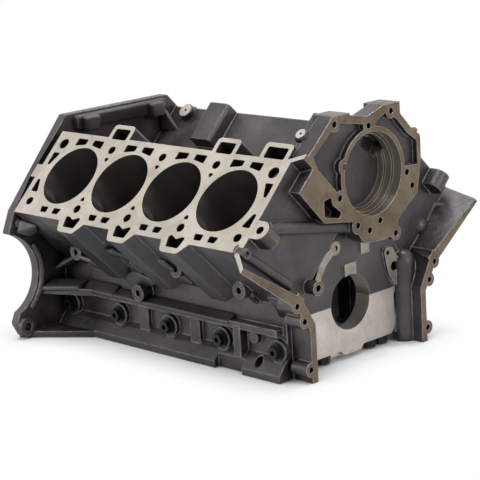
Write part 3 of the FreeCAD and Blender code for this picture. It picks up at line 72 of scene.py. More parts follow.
# %% The two banks
MM = 0.001
SLANT = math.sqrt(0.5)
BANKS = {
    "right": {"side": -1, "first_bore": 160 * MM},
    "left": {"side": 1, "first_bore": 140 * MM},
}
for bank in BANKS.values():
    bank["up"] = Vector((0, bank["side"] * SLANT, SLANT))
    bank["inboard"] = Vector((0, -bank["side"] * SLANT, SLANT))
print("deck normals:", [tuple(bank["up"]) for bank in BANKS.values()])

# %% [markdown]
# ## A helper for materials
# A material is a tree of nodes. Some make a pattern, some colour it, and the Principled shader
# at the end turns colour, shine and relief into a surface. Every node needs the same steps:
# add it, set its plain values, and link the sockets that carry a pattern. One helper does all
# three, so that the materials below read like recipes.


# %% A new material and a new node
def new_material(name):
    material = bpy.data.materials.new(name)
    material.use_nodes = True
    tree = material.node_tree
    shader = tree.nodes["Principled BSDF"]
    return material, tree, shader


def add_node(tree, kind, inputs=None, **settings):
    """Add a node; a socket given as an input is linked, and anything else is set."""
    node = tree.nodes.new(kind)
    for key, value in settings.items():
        setattr(node, key, value)
    for key, value in (inputs or {}).items():
        if isinstance(value, bpy.types.NodeSocket):
            tree.links.new(value, node.inputs[key])
        else:
            node.inputs[key].default_value = value
    return node


print("node helpers ready")

# %% [markdown]
# ## Patterns
# Worn metal is never one even tone. Noise gives cloudy patches, and a ramp turns the grey of
# the clouds into chosen colours. A pattern could be laid out on an unfolded mesh, but this
# block has thousands of small faces to unfold. Reading it in the object's own coordinates
# needs no unfolding, and the grain keeps its real size everywhere.


# %% Place, noise and ramp
def place(tree, scale=(1, 1, 1)):
    """Object coordinates, stretched along each axis."""
    coordinates = add_node(tree, "ShaderNodeTexCoord")
    mapping = add_node(tree, "ShaderNodeMapping", {
        "Vector": coordinates.outputs["Object"], "Scale": scale,
    })
    return mapping.outputs["Vector"]


def noise(tree, where, scale, detail=3.0, roughness=0.5):
    """Cloudy grey from 0 to 1; a larger scale gives a finer grain."""
    node = add_node(tree, "ShaderNodeTexNoise", {
        "Vector": where, "Scale": scale, "Detail": detail, "Roughness": roughness,
    })
    return node.outputs["Fac"]


def ramp(tree, factor, stops):
    """A colour ramp; each stop is (place, colour or grey)."""
    node = add_node(tree, "ShaderNodeValToRGB", {"Fac": factor})
    bands = node.color_ramp.elements
    while len(bands) < len(stops):
        bands.new(1.0)
    for band, (position, colour) in zip(bands, stops):
        band.position = position
        grey = not isinstance(colour, tuple)
        band.color = (colour, colour, colour, 1) if grey else (*colour, 1)
    return node.outputs["Color"]


print("pattern helpers ready")

# %% [markdown]
# ## Colours and relief
# A mix lays one colour over another, as a coat lies over iron. Colours are written as a screen
# shows them, from 0 to 255, because that is how a person picks them, and a formula turns them
# into the linear values that light adds up in. Grain too fine to model becomes a bump: it
# leaves the mesh alone and only tilts the way that the surface sends light back.

# %% Mix, bump and screen colours
# On a mix node for colours, these sockets hold the factor and the two colours.
MIX_INPUTS = (0, 6, 7)
MIX_RESULT = 2


def mix(tree, factor, first, second, how="MIX"):
    """The second colour over the first, or the two multiplied."""
    node = add_node(tree, "ShaderNodeMix", data_type="RGBA", blend_type=how)
    for number, value in zip(MIX_INPUTS, (factor, first, second)):
        socket = node.inputs[number]
        if isinstance(value, bpy.types.NodeSocket):
            tree.links.new(value, socket)
        elif isinstance(value, tuple):
            socket.default_value = (*value, 1)
        else:
            socket.default_value = value
    return node.outputs[MIX_RESULT]


def bump(tree, shader, layers, normal=None):
    """Stacked bump layers, each (height, strength, depth in metres), over an optional normal."""
    for height, strength, depth in layers:
        node = add_node(tree, "ShaderNodeBump", {
            "Height": height, "Strength": strength, "Distance": depth,
        })
        if normal is not None:
            tree.links.new(normal, node.inputs["Normal"])
        normal = node.outputs["Normal"]
    tree.links.new(normal, shader.inputs["Normal"])


def srgb(red, green, blue):
    """A colour written as it looks on screen, 0 to 255."""
    def linear(value):
        value /= 255
        return value / 12.92 if value <= 0.04045 else ((value + 0.055) / 1.055) ** 2.4
    return linear(red), linear(green), linear(blue)


print("middle grey in linear light:", round(srgb(128, 128, 128)[0], 3))

# %% [markdown]
# ## Where a surface wears, and where light and shade are painted
# A casting rubs bright along its edges, and here the edges also get a painted highlight.
# Corners and pockets get painted shade, and undersides are painted darker than what faces up.
# That could be painted by hand, but masks find the places from the shape itself. The Bevel node
# rounds an edge in the shading only, so that the mesh keeps its true size, and wherever the
# rounded normal leaves the flat one there is an edge. The Ambient Occlusion node finds pockets,
# whose walls hide part of the sky.

# %% Edge, painted pocket shade and painted underside shade masks
SHAPE_SAMPLES = 6


def rounded(tree, radius):
    """The normal of an edge rounded to a radius, in the shading only."""
    node = add_node(tree, "ShaderNodeBevel", {"Radius": radius}, samples=SHAPE_SAMPLES)
    return node.outputs["Normal"]


def edge_mask(tree, normal, low, high):
    """1 where the rounded normal leaves the flat one."""
    flat = add_node(tree, "ShaderNodeNewGeometry").outputs["Normal"]
    turn = add_node(tree, "ShaderNodeVectorMath", {0: normal, 1: flat}, operation="DOT_PRODUCT")
    return ramp(tree, turn.outputs["Value"], [(low, 1.0), (high, 0.0)])


def pocket_shade_mask(tree, reach):
    """Painted shade: 1 in corners and pockets, which nearby walls shade, 0 in the open."""
    shade = add_node(
        tree, "ShaderNodeAmbientOcclusion", {"Distance": reach}, samples=SHAPE_SAMPLES)
    return ramp(tree, shade.outputs["AO"], [(0.3, 1.0), (0.85, 0.0)])


def underside_shade(tree):
    """Painted shade: 1 on what faces up, falling to 0.3 on undersides, as if lit from above."""
    facing = add_node(tree, "ShaderNodeNewGeometry").outputs["Normal"]
    height = add_node(tree, "ShaderNodeSeparateXYZ", {"Vector": facing}).outputs["Z"]
    lifted = add_node(tree, "ShaderNodeMapRange", {
        "Value": height, "From Min": -1.0, "From Max": 1.0,
    })
    return ramp(tree, lifted.outputs["Result"], [(0.15, 0.3), (0.42, 0.78), (0.85, 1.0)])


print("masks ready, with", SHAPE_SAMPLES, "samples each")

# %% [markdown]
# ## The cast skin
# The block is cast in sand and wears a thin charcoal coat, satin and a little purple. Its skin
# is uneven at every size, from waves as broad as a thumb to single grains. One noise can give
# the waves or the grains but not both, so four layers of bump are stacked, each finer and
# shallower than the one before.

# %% The cast coat
CAST_EDGE = 3 * MM
POCKET_SHADE_REACH = 20 * MM
COAT_TONES = [(0.3, srgb(44, 40, 42)), (0.5, srgb(72, 66, 69)), (0.72, srgb(104, 96, 99))]
# Painted shade: the near-black colour laid into corners and pockets that nearby walls shade.
POCKET_SHADE_TONE = srgb(24, 21, 23)
# Partly rubbed wear and partly a painted highlight: the pale tone laid along every edge, convex
# and concave.
RUBBED_AND_HIGHLIGHT_TONE = srgb(172, 163, 167)
# Each layer of sand: noise scale, detail, roughness, then bump strength and depth.
SAND_LAYERS = (
    (22, 2, 0.5, 0.8, 2.4 * MM),
    (70, 2, 0.5, 0.5, 0.7 * MM),
    (260, 3, 0.6, 0.6, 0.5 * MM),
    (850, 2, 0.5, 0.5, 0.16 * MM),
)


def cast_material():
    """Charcoal coat: cloudy tone, painted shade on undersides and in pockets, speckle, rubbed
    edges with a painted highlight, and sand grain.
    """
    material, tree, shader = new_material("cast_coat")
    where = place(tree)
    soft = rounded(tree, CAST_EDGE)
    tone = ramp(tree, noise(tree, where, 11, 5, 0.6), COAT_TONES)
    # Painted shade: faces that turn down are darkened and tops kept light, as a lamp above would
    # do.
    tone = mix(tree, 1.0, tone, underside_shade(tree), "MULTIPLY")
    speckle = ramp(tree, noise(tree, where, 420, 2), [(0.35, 0.72), (0.7, 1.0)])
    colour = mix(tree, 1.0, tone, speckle, "MULTIPLY")
    # Painted shade: corners and pockets are darkened towards the pocket shade tone.
    colour = mix(tree, pocket_shade_mask(tree, POCKET_SHADE_REACH), colour, POCKET_SHADE_TONE)
    # Rubbed wear and painted highlight: edges go pale, in patches.
    rubbed_and_highlight = edge_mask(tree, soft, 0.86, 0.985)
    patchy = ramp(tree, noise(tree, where, 90, 3), [(0.35, 0.15), (0.65, 0.9)])
    worn_and_highlight = mix(tree, 1.0, rubbed_and_highlight, patchy, "MULTIPLY")
    colour = mix(tree, worn_and_highlight, colour, RUBBED_AND_HIGHLIGHT_TONE)
    tree.links.new(colour, shader.inputs["Base Color"])
    shine = ramp(tree, noise(tree, where, 45, 4), [(0.3, 0.3), (0.75, 0.48)])
    tree.links.new(shine, shader.inputs["Roughness"])
    shader.inputs["Metallic"].default_value = 0.15
    shader.inputs["Specular IOR Level"].default_value = 0.6
    bump(tree, shader, [
        (noise(tree, where, scale, detail, roughness), strength, depth)
        for scale, detail, roughness, strength, depth in SAND_LAYERS
    ], soft)
    return material


cast = cast_material()
print(cast.name, "with", len(cast.node_tree.nodes), "nodes")

# %% [markdown]
# ## Milled and ground faces
# A cut face is flat and pale. It has a fine grain from the cutter or the wheel, stains of old
# oil, and a bright edge where the cut breaks through the cast skin. All the cut faces of the
# block differ only in tone, stain, shine and the run of their marks, so one function makes
# them instead of four almost equal ones. The marks are noise, stretched along an axis.

# %% The machined surface
CUT_EDGE = 0.9 * MM
CUT_EDGE_TONE = srgb(232, 226, 216)
STAIN_START = 0.52


def machined_material(name, pale, dark, stain, rough, marks, metallic, stain_full=0.68):
    """Two tones of iron, oil stains, cutter marks and a bright broken edge."""
    material, tree, shader = new_material(name)
    where = place(tree)
    streaks = place(tree, marks)
    soft = rounded(tree, CUT_EDGE)
    tone = ramp(tree, noise(tree, where, 22, 6, 0.7), [(0.3, dark), (0.65, pale)])
    patch = ramp(tree, noise(tree, where, 30, 6, 0.72), [(STAIN_START, 0.0), (stain_full, 0.6)])
    colour = mix(tree, patch, tone, stain)
    fine = ramp(tree, noise(tree, streaks, 1.0, 2), [(0.3, 0.84), (0.7, 1.0)])
    colour = mix(tree, 1.0, colour, fine, "MULTIPLY")
    colour = mix(tree, edge_mask(tree, soft, 0.8, 0.97), colour, CUT_EDGE_TONE)
    tree.links.new(colour, shader.inputs["Base Color"])
    shine = ramp(tree, noise(tree, where, 55, 4), [(0.3, rough), (0.75, rough + 0.16)])
    tree.links.new(shine, shader.inputs["Roughness"])
    shader.inputs["Metallic"].default_value = metallic
    bump(tree, shader, [
        (noise(tree, streaks, 1.0, 2), 0.16, 0.08 * MM),
        (noise(tree, where, 600, 2), 0.12, 0.06 * MM),
    ], soft)
    return material


print("a cut edge shines over", CUT_EDGE, "m")

# %% [markdown]
# ## Four cut finishes
# The decks are warm light grey with tan patches. The end faces are darker, browner and more
# metallic, the small pads of the front web lie between, and the caps are ground, pale, with
# upright marks. "marks" scales the noise along X, Y and Z: a small number draws the marks out
# along that axis, and equal numbers give an even grain.

# %% Decks, end faces, pads and caps
deck_metal = machined_material(
    "deck_metal", pale=srgb(204, 195, 184), dark=srgb(176, 166, 153), stain=srgb(160, 141, 117),
    rough=0.4, marks=(700, 90, 90), metallic=0.35, stain_full=0.76)
face_metal = machined_material(
    "face_metal", pale=srgb(130, 116, 99), dark=srgb(94, 81, 66), stain=srgb(74, 61, 46),
    rough=0.26, marks=(60, 700, 700), metallic=0.85)
pad_metal = machined_material(
    "pad_metal", pale=srgb(170, 163, 154), dark=srgb(136, 128, 119), stain=srgb(110, 100, 88),
    rough=0.34, marks=(60, 500, 500), metallic=0.7)
cap_metal = machined_material(
    "cap_metal", pale=srgb(214, 205, 198), dark=srgb(184, 174, 166), stain=srgb(160, 148, 136),
    rough=0.36, marks=(90, 900, 25), metallic=0.6, stain_full=0.75)
print("machined:", [m.name for m in (deck_metal, face_metal, pad_metal, cap_metal)])

# %% [markdown]
# ## Bores
# A hone turns inside a cylinder and leaves it dark and glossy, and its fine rings draw the
# light out along the bore into a streak. A plain glossy surface would show a round highlight
# instead. Anisotropic shading stretches it, and only has to be told which way the bore runs,
# so each row of bores has its own material.

# %% Honed and bored iron
BORE_EDGE = 0.8 * MM
HONED = (srgb(66, 64, 60), srgb(76, 74, 70))
BORED = (srgb(128, 122, 116), srgb(168, 161, 154))


def bored_material(name, axis, low, high, rough):
    """Glossy iron, with its highlight drawn out along the axis of the bore."""
    material, tree, shader = new_material(name)
    where = place(tree)
    tone = ramp(tree, noise(tree, where, 12, 4), [(0.3, low), (0.7, high)])
    tree.links.new(tone, shader.inputs["Base Color"])
    shader.inputs["Metallic"].default_value = 1.0
    shader.inputs["Anisotropic"].default_value = 0.9
    along = add_node(tree, "ShaderNodeCombineXYZ", {"X": axis[0], "Y": axis[1], "Z": axis[2]})
    tree.links.new(along.outputs["Vector"], shader.inputs["Tangent"])
    shine = ramp(tree, noise(tree, where, 40, 3), [(0.3, rough), (0.75, rough + 0.04)])
    tree.links.new(shine, shader.inputs["Roughness"])
    hatch = place(tree, (700, 700, 700))
    grain = (noise(tree, hatch, 1.0, 2), 0.15, 0.02 * MM)
    bump(tree, shader, [grain], rounded(tree, BORE_EDGE))
    return material


right_bore = bored_material("right_bores", BANKS["right"]["up"], *HONED, 0.42)
left_bore = bored_material("left_bores", BANKS["left"]["up"], *HONED, 0.42)
long_bore = bored_material("long_bores", (1, 0, 0), *BORED, 0.36)
print("bores:", [m.name for m in (right_bore, left_bore, long_bore)])

# %% [markdown]
# ## Fasteners
# The bolts are blackened and oily, and the dowels are bare hard steel. They are small, so
# stains and cutter marks would never be seen on them. Two close tones and a fine grain are
# enough, and they cost little to render.


# %% Bolt and dowel steel
def plain_metal(name, low, high, rough, metallic):
    """Two close tones and a fine grain."""
    material, tree, shader = new_material(name)
    where = place(tree)
    tone = ramp(tree, noise(tree, where, 120, 4), [(0.3, low), (0.7, high)])
    tree.links.new(tone, shader.inputs["Base Color"])
    shader.inputs["Metallic"].default_value = metallic
    shine = ramp(tree, noise(tree, where, 200, 3), [(0.3, rough), (0.7, rough + 0.15)])
    tree.links.new(shine, shader.inputs["Roughness"])
    bump(tree, shader, [(noise(tree, where, 900, 2), 0.2, 0.08 * MM)])
    return material


bolt_metal = plain_metal("bolt_black", srgb(26, 25, 26), srgb(44, 42, 42), 0.32, 0.6)
dowel_metal = plain_metal("dowel_steel", srgb(150, 148, 144), srgb(182, 180, 176), 0.25, 1.0)
print("all materials:", [m.name for m in bpy.data.materials])

# %% [markdown]
# ## Which surface is which
# On the real block the cutters touch only some planes and bores, and everything else keeps its
# cast skin. The faces could be picked by hand, but there are thousands. The cuts are known, so
# a face is machined if it lies in a known plane, or on a known bore, within a small tolerance.

# %% The cuts
CAST, DECK, FACE, PAD, RIGHT_BORE, LEFT_BORE, LONG_BORE = range(7)
FINISHES = (cast, deck_metal, face_metal, pad_metal, right_bore, left_bore, long_bore)
# A surface is on a cut within NEAR of it. Cosines say that a face looks along a direction
# (above FLAT) or square to it (below SIDE_ON).
NEAR = 0.3 * MM
FLAT = 0.995
SIDE_ON = 0.05
DECK_HEIGHT = 220.5 * MM
BORE_RADIUS = 45.1 * MM
BORE_PITCH = 100 * MM
LAST_BORE = 3
BARREL_FOOT = 70 * MM
MAIN_RADIUS = 36.2 * MM
FRONT_FACE = 244.5 * MM
WEB_FACE = 211.5 * MM
REAR_FACE = -232 * MM
PAN_RAIL = -74 * MM


def bore_distance(bank, point):
    """How far a point is from the nearest cylinder axis of a bank."""
    step = round((bank["first_bore"] - point.x) / BORE_PITCH)
    step = min(max(step, 0), LAST_BORE)
    along = point.x - (bank["first_bore"] - step * BORE_PITCH)
    return math.hypot(along, point.dot(bank["inboard"]))


print("bores of the near bank at x =", [
    round(BANKS["right"]["first_bore"] - step * BORE_PITCH, 3) for step in range(LAST_BORE + 1)])

# %% [markdown]
# ## The front end
# The front has the most cuts: its rim, the round recess for a pump, and low pads on the web
# behind it. All of them face forward, so their normals say nothing. How far forward they lie,
# and where, tells them apart.

# %% The cuts that face forward
PUMP_AXIS = Vector((0, 17.5 * MM, 166 * MM))
PUMP_MOUTH = 54 * MM
PUMP_BOTTOM = 213 * MM
PAD_TOP = 220 * MM
PAD_START = WEB_FACE + 2 * MM
PAD_HALF_WIDTH = 98 * MM
PAD_CEILING = 90 * MM
GUIDE = (-30 * MM, 77 * MM)
GUIDE_FACE = 218 * MM
GUIDE_RADIUS = 9.5 * MM


def front_finish(point):
    """The finish of a surface that faces forward."""
    if point.x > FRONT_FACE - NEAR:
        return FACE
    from_pump = math.hypot(point.y - PUMP_AXIS.y, point.z - PUMP_AXIS.z)
    if from_pump < PUMP_MOUTH:
        return FACE if point.x > PUMP_BOTTOM else CAST
    if not PAD_START < point.x < PAD_TOP:
        return CAST
    if abs(point.y) > PAD_HALF_WIDTH or point.z > PAD_CEILING:
        return CAST
    on_guide = math.hypot(point.y - GUIDE[0], point.z - GUIDE[1]) < GUIDE_RADIUS
    return PAD if on_guide or point.x < GUIDE_FACE else CAST


print("the front rim gets finish", front_finish(Vector((FRONT_FACE, 0, 0))))

# %% [markdown]
# ## One question for every face
# A face gives its middle and its normal, and one function answers with its finish. The decks
# and the cylinders come first, because they lean with their banks, and the cuts that are
# square to the block follow. What passes no test is cast skin.


# %% The finish of a face
def finish_of(point, normal):
    """The finish of any face of the casting, from its middle and its normal."""
    for bank, bored in ((BANKS["right"], RIGHT_BORE), (BANKS["left"], LEFT_BORE)):
        height = point.dot(bank["up"])
        if normal.dot(bank["up"]) > FLAT and abs(height - DECK_HEIGHT) < NEAR:
            return DECK
        in_barrel = abs(normal.dot(bank["up"])) < SIDE_ON and height > BARREL_FOOT
        if in_barrel and abs(bore_distance(bank, point) - BORE_RADIUS) < NEAR:
            return bored
    if normal.x > FLAT:
        return front_finish(point)
    if normal.x < -FLAT and point.x < REAR_FACE + NEAR:
        return FACE
    if abs(normal.x) < SIDE_ON:
        if abs(math.hypot(point.y, point.z) - MAIN_RADIUS) < NEAR:
            return LONG_BORE
        from_pump = math.hypot(point.y - PUMP_AXIS.y, point.z - PUMP_AXIS.z)
        if from_pump < PUMP_MOUTH and point.x > WEB_FACE:
            return LONG_BORE
    if normal.z < -FLAT and point.z < PAN_RAIL + NEAR:
        return FACE
    return CAST


near_up = BANKS["right"]["up"]
print("a face of the near deck gets finish", finish_of(DECK_HEIGHT * near_up, near_up))

# %% [markdown]
# ## The casting
# The solid comes in as separate triangles, and its own mesh has to stay as it is. So a copy is
# dressed in its place. Welding the copy joins the triangles, and dissolving merges those that
# lie in one plane, so that each flat surface shades as one. Cast edges look rounded through
# their material, which keeps the copy inside the solid's own box.

# %% A welded copy
WELD = 0.01 * MM
SAME_PLANE = math.radians(0.5)


def dressed_copy(node, name):
    """A copy of a solid's mesh, welded, with its flat surfaces merged."""
    mesh = nodes[node].data.copy()
    mesh.name = name
    piece = bpy.data.objects.new(name, mesh)
    bpy.context.scene.collection.objects.link(piece)
    shell = bmesh.new()
    shell.from_mesh(mesh)
    bmesh.ops.remove_doubles(shell, verts=shell.verts, dist=WELD)
    bmesh.ops.dissolve_limit(
        shell, angle_limit=SAME_PLANE, verts=shell.verts, edges=shell.edges,
        delimit={"NORMAL"})
    shell.normal_update()
    shell.to_mesh(mesh)
    shell.free()
    for face in mesh.polygons:
        face.use_smooth = False
    mesh.update()
    return piece


casting = dressed_copy("cylinder_block", "block_casting")
print("faces after merging:", len(casting.data.polygons))

# %% [markdown]
# ## Sorting the faces
# One mesh can carry several materials, and each face holds the number of its own. Cutting the
# casting into a piece for each finish would open seams in what is one casting, so the whole
# list is hung on the copy and every face asks which finish it has.

# %% Finishes on the casting
casting.data.materials.clear()
for finish in FINISHES:
    casting.data.materials.append(finish)
for face in casting.data.polygons:
    face.material_index = finish_of(face.center, face.normal)
counts = [0] * len(FINISHES)
for face in casting.data.polygons:
    counts[face.material_index] += 1
print("faces by finish:", counts)

# %% [markdown]
# ## The corners of the rear flange
# The flange that the bell housing bolts to is wider than the block behind the decks. On the
# real block its corners drop towards the neck of the deck. The solid has them square, and
# moving a few corner points of the copy is simpler than cutting it again.

# %% Eased corners
EDGE_CORNERS = ((112, 203), (200, 110))
CORNER_NEAR = 2 * MM
FLANGE_FRONT = -217 * MM
EDGE_DROP = 6 * MM
eased = 0
for vertex in casting.data.vertices:
    bank = BANKS["left" if vertex.co.y > 0 else "right"]
    on_corner = any(
        math.hypot(abs(vertex.co.y) - y * MM, vertex.co.z - z * MM) < CORNER_NEAR
        for y, z in EDGE_CORNERS)
    if on_corner and vertex.co.x < FLANGE_FRONT:
        vertex.co -= bank["up"] * EDGE_DROP
        eased += 1
print("corners of the rear flange brought down to the deck's neck:", eased)
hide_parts("cylinder_block")
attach(casting, "root")

# %% [markdown]
# ## Gussets, arms and bars
# A foundry pattern stiffens its walls with small webs. Sand doesn't hold a sharp edge, so all
# their edges are round. A bevelled box would do for a square web, but these taper and lean.
# The convex hull of a few balls is round everywhere and takes any shape between its corners,
# so each web is written as its corner balls: x, y, z and radius, in millimetres.


# %% Balls
BALL_RINGS = 5
BALL_AROUND = 10


def ball_points(x, y, z, radius):
    """Points spread over one small ball."""
    centre = Vector((x, y, z)) * MM
    points = [centre + Vector((0, 0, radius * MM)), centre - Vector((0, 0, radius * MM))]
    for ring in range(1, BALL_RINGS):
        tilt = math.pi * ring / BALL_RINGS
        for step in range(BALL_AROUND):
            turn = math.tau * step / BALL_AROUND
            points.append(centre + radius * MM * Vector((
                math.sin(tilt) * math.cos(turn), math.sin(tilt) * math.sin(turn),
                math.cos(tilt))))
    return points


def mirrored(balls):
    """The same balls on the far side."""
    return [(x, -y, z, radius) for x, y, z, radius in balls]


print(len(ball_points(0, 0, 0, 5)), "points to a ball")

# %% [markdown]
# ## From balls to a web
# Every added piece is part of the same casting, so it moves with it and shares its slot. Its
# faces are shaded smooth. Weighted normals let the large faces of a web decide the shading, so
# that its flats stay flat and only its edges look round.


# %% Hulls
def add_piece(name, shell, finishes):
    """Keep a bmesh as a piece of the casting."""
    bmesh.ops.recalc_face_normals(shell, faces=shell.faces)
    mesh = bpy.data.meshes.new(name)
    shell.to_mesh(mesh)
    shell.free()
    for finish in finishes:
        mesh.materials.append(finish)
    piece = bpy.data.objects.new(name, mesh)
    bpy.context.scene.collection.objects.link(piece)
    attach(piece, "root")
    return piece


def even_normals(piece):
    """Let the large faces of a piece decide its shading."""
    smooth = piece.modifiers.new("even_normals", "WEIGHTED_NORMAL")
    smooth.keep_sharp = True


def cast_web(name, *groups):
    """One rounded web for each group of balls (x, y, z, radius)."""
    shell = bmesh.new()
    for balls in groups:
        corners = [shell.verts.new(point) for ball in balls for point in ball_points(*ball)]
        hull = bmesh.ops.convex_hull(shell, input=corners)
        inside = {v for v in hull["geom_interior"] + hull["geom_unused"]
                  if isinstance(v, bmesh.types.BMVert)}
        bmesh.ops.delete(shell, geom=list(inside), context="VERTS")
    piece = add_piece(name, shell, [cast])
    for face in piece.data.polygons:
        face.use_smooth = True
    even_normals(piece)


print("web helpers ready")

# %% [markdown]
# ## Webs of the flanks
# The near flank carries a pyramid and a fin beside the flange, arms that lean against its
# wall, and a gusset low down. The far flank repeats the pyramid, the fin and the long rib. The
# rib is three hulls in a row, since one hull would bulge where the rib tapers in from the
# flange.

# %% Flank webs
FLANK_WEBS = {
    "rear_pyramid": [
        (-215, -194, 78, 2.5), (-215, -189, 91, 2.5), (-192, -182, 86, 2.5),
        (-214, -178, 70, 2.5), (-198, -176, 77, 2.5)],
    "rear_fin": [
        (-208, -140, 16, 2), (-197, -136, 25, 2.5), (-176, -133, 34, 3),
        (-176, -124, 28, 3), (-208, -118, 14, 2)],
    "rear_boss_web": [
        (-150, -145, 42, 4), (-128, -142, 37, 4), (-112, -124, 22, 3), (-135, -122, 24, 3)],
    "upper_arm": [
        (-96, -162, 66, 3.5), (-92, -154, 57, 3.5), (-50, -167, 67, 4), (-34, -158, 60, 3.5)],
    "middle_arm": [
        (14, -170, 73, 3.5), (18, -161, 63, 3.5), (44, -160, 63, 4.5), (48, -152, 54, 4)],
    "low_gusset": [
        (-77, -128, 20, 3), (-50, -132, 31, 3), (-18, -125, 20, 3), (-62, -123, 4, 3),
        (-74, -118, 8, 3), (-34, -112, 14, 3)],
}
LONG_RIB = (
    [(-213, -160, -9, 5), (-213, -142, -3, 4), (-166, -138, -7, 5), (-166, -126, -2, 4)],
    [(-160, -130, -10, 3.2), (-104, -130, -10, 3.2), (-160, -119, -1, 3), (-104, -119, -1, 3)],
    [(-98, -129.5, -10, 3), (120, -129.5, -10, 3), (-98, -119, -5, 3), (120, -119, -5, 3)],
)
for name, balls in FLANK_WEBS.items():
    cast_web(name, balls)
cast_web("far_rear_pyramid", mirrored(FLANK_WEBS["rear_pyramid"]))
cast_web("far_rear_fin", mirrored(FLANK_WEBS["rear_fin"]))
cast_web("long_rib_bar", *LONG_RIB)
cast_web("far_long_rib_bar", *(mirrored(balls) for balls in LONG_RIB))
print("flank webs made:", len(FLANK_WEBS) + 4)

# %% [markdown]
# ## The scalloped rim
# The flange for the bell housing is hollowed at each side, and a rounded rim follows the
# hollow. A tube along a curve would need its ends closed and buried. Short hulls between
# neighbouring balls on an arc give the same bead, and its ends are already round.

# %% Scallop rims
SCALLOP_MIDDLE = (-225, 18)
SCALLOP_RADIUS = 66
RIM_FROM, RIM_TO, RIM_STEPS = math.radians(-48), math.radians(32), 7
RIM_X = -216
RIM_THICK = 4.5


def scallop_rim(side):
    """Pairs of neighbouring balls round the hollow of one side."""
    balls = []
    for step in range(RIM_STEPS + 1):
        turn = RIM_FROM + (RIM_TO - RIM_FROM) * step / RIM_STEPS
        y = SCALLOP_MIDDLE[0] + SCALLOP_RADIUS * math.cos(turn)
        z = SCALLOP_MIDDLE[1] + SCALLOP_RADIUS * math.sin(turn)
        balls.append((RIM_X, -side * y, z, RIM_THICK))
    return [balls[i:i + 2] for i in range(RIM_STEPS)]


cast_web("scallop_rim_right", *scallop_rim(-1))
cast_web("scallop_rim_left", *scallop_rim(1))
print("rims made, of", RIM_STEPS, "lengths each")

# %% [markdown]
# ## The top of the flange
# A beam crosses the top of the flange between two blocks that take the upper bolts, and a
# gusset braces it from the valley. These are square castings with soft edges, so eight small
# balls at the corners of a block describe each of them.

# %% Blocks, beam and gusset
SIDES = ((-1, "right"), (1, "left"))
for side, name in SIDES:
    cast_web("top_block_" + name, [
        (-227, side * 74, 216, 3), (-227, side * 47, 217, 3), (-200, side * 70, 214, 3),
        (-200, side * 51, 214, 3), (-227, side * 70, 197, 3), (-200, side * 67, 200, 3),
        (-200, side * 53, 200, 3), (-227, side * 50, 196, 3)])
cast_web("top_beam", [
    (-227, -80, 217, 3), (-227, 82, 217, 3), (-209, -78, 216, 3), (-209, 80, 216, 3),
    (-212, -78, 202, 3), (-212, 80, 202, 3), (-227, -78, 200, 3), (-227, 80, 200, 3)])
cast_web("valley_gusset", [
    (-214, 76, 208, 3), (-214, 88, 196, 3), (-186, 84, 172, 3), (-214, 78, 176, 3)])
print("top of the flange made")

# %% [markdown]
# ## Turned bosses
# A boss is a round post with a flared foot. Its end is faced by a cutter and then drilled.
# Cylinders could be joined and cut by booleans, but those often leave ragged faces. One
# profile, spun about an axis, gives the boss and its hole as one clean mesh. It runs from the
# foot up the wall, over the lip, into the hole and down to the tip of the drill.

# %% The profile of a boss
FOOT_FLARE, FOOT_RISE = 2.5, 4
LIP, LIP_STEP = 1.2, 0.4
HOLE_CHAMFER = 0.6
HOLE_DEPTH, DRILL_TIP = 6, 1


def boss_profile(radius, height, hole):
    """Points (distance from the axis, rise above the foot), in millimetres."""
    return [
        (radius + FOOT_FLARE, 0), (radius + 0.8, 1.5), (radius, FOOT_RISE),
        (radius, height - LIP), (radius - LIP_STEP, height - LIP_STEP), (radius - LIP, height),
        (hole + HOLE_CHAMFER, height), (hole, height - HOLE_CHAMFER),
        (hole, height - HOLE_DEPTH), (0, height - HOLE_DEPTH - DRILL_TIP),
    ]


print("profile of a boss 15 mm high:", boss_profile(7.5, 15, 3))

# %% [markdown]
# ## Spinning the profile
# Each point of the profile becomes a ring, and faces join a ring to the next. Blender's Screw
# modifier could spin it too. Built by hand, each band of faces is known by its number, so the
# band that the cutter faced gets the machined finish and flat shading straight away.

# %% The spun boss
BOSS_SEGMENTS = 40
END_BAND = 5


def spun_boss(name, at, axis, radius, height, hole, end_finish):
    """A cast boss with a drilled, machined end."""
    frame_turn = Vector(axis).normalized().to_track_quat("Z", "Y").to_matrix()
    shell = bmesh.new()
    rings = []
    for reach, rise in boss_profile(radius, height, hole):
        ring = []
        for step in range(BOSS_SEGMENTS if reach else 1):
            turn = math.tau * step / BOSS_SEGMENTS
            spot = Vector((reach * math.cos(turn), reach * math.sin(turn), rise)) * MM
            ring.append(shell.verts.new(Vector(at) * MM + frame_turn @ spot))
        rings.append(ring)
    machined = []
    for lower, upper in zip(rings, rings[1:]):
        for step in range(BOSS_SEGMENTS):
            after = (step + 1) % BOSS_SEGMENTS
            corners = [lower[step], lower[after]]
            corners += [upper[0]] if len(upper) == 1 else [upper[after], upper[step]]
            face = shell.faces.new(corners)
            if lower is rings[END_BAND]:
                machined.append(face)
    shell.faces.new(list(reversed(rings[0])))
    for face in shell.faces:
        face.smooth = True
    for face in machined:
        face.material_index = 1
        face.smooth = False
    even_normals(add_piece(name, shell, [cast, end_finish]))


print("a boss has", BOSS_SEGMENTS, "faces to a band")

# %% [markdown]
# ## Bosses of the block
# A pad stands in the valley on a short column and faces inboard from the far bank. Two bosses
# sit at the feet of the flange, and three bosses of the near flank spread into the wall at
# their own feet. The turned ones are spun, and the spreading feet are webs.

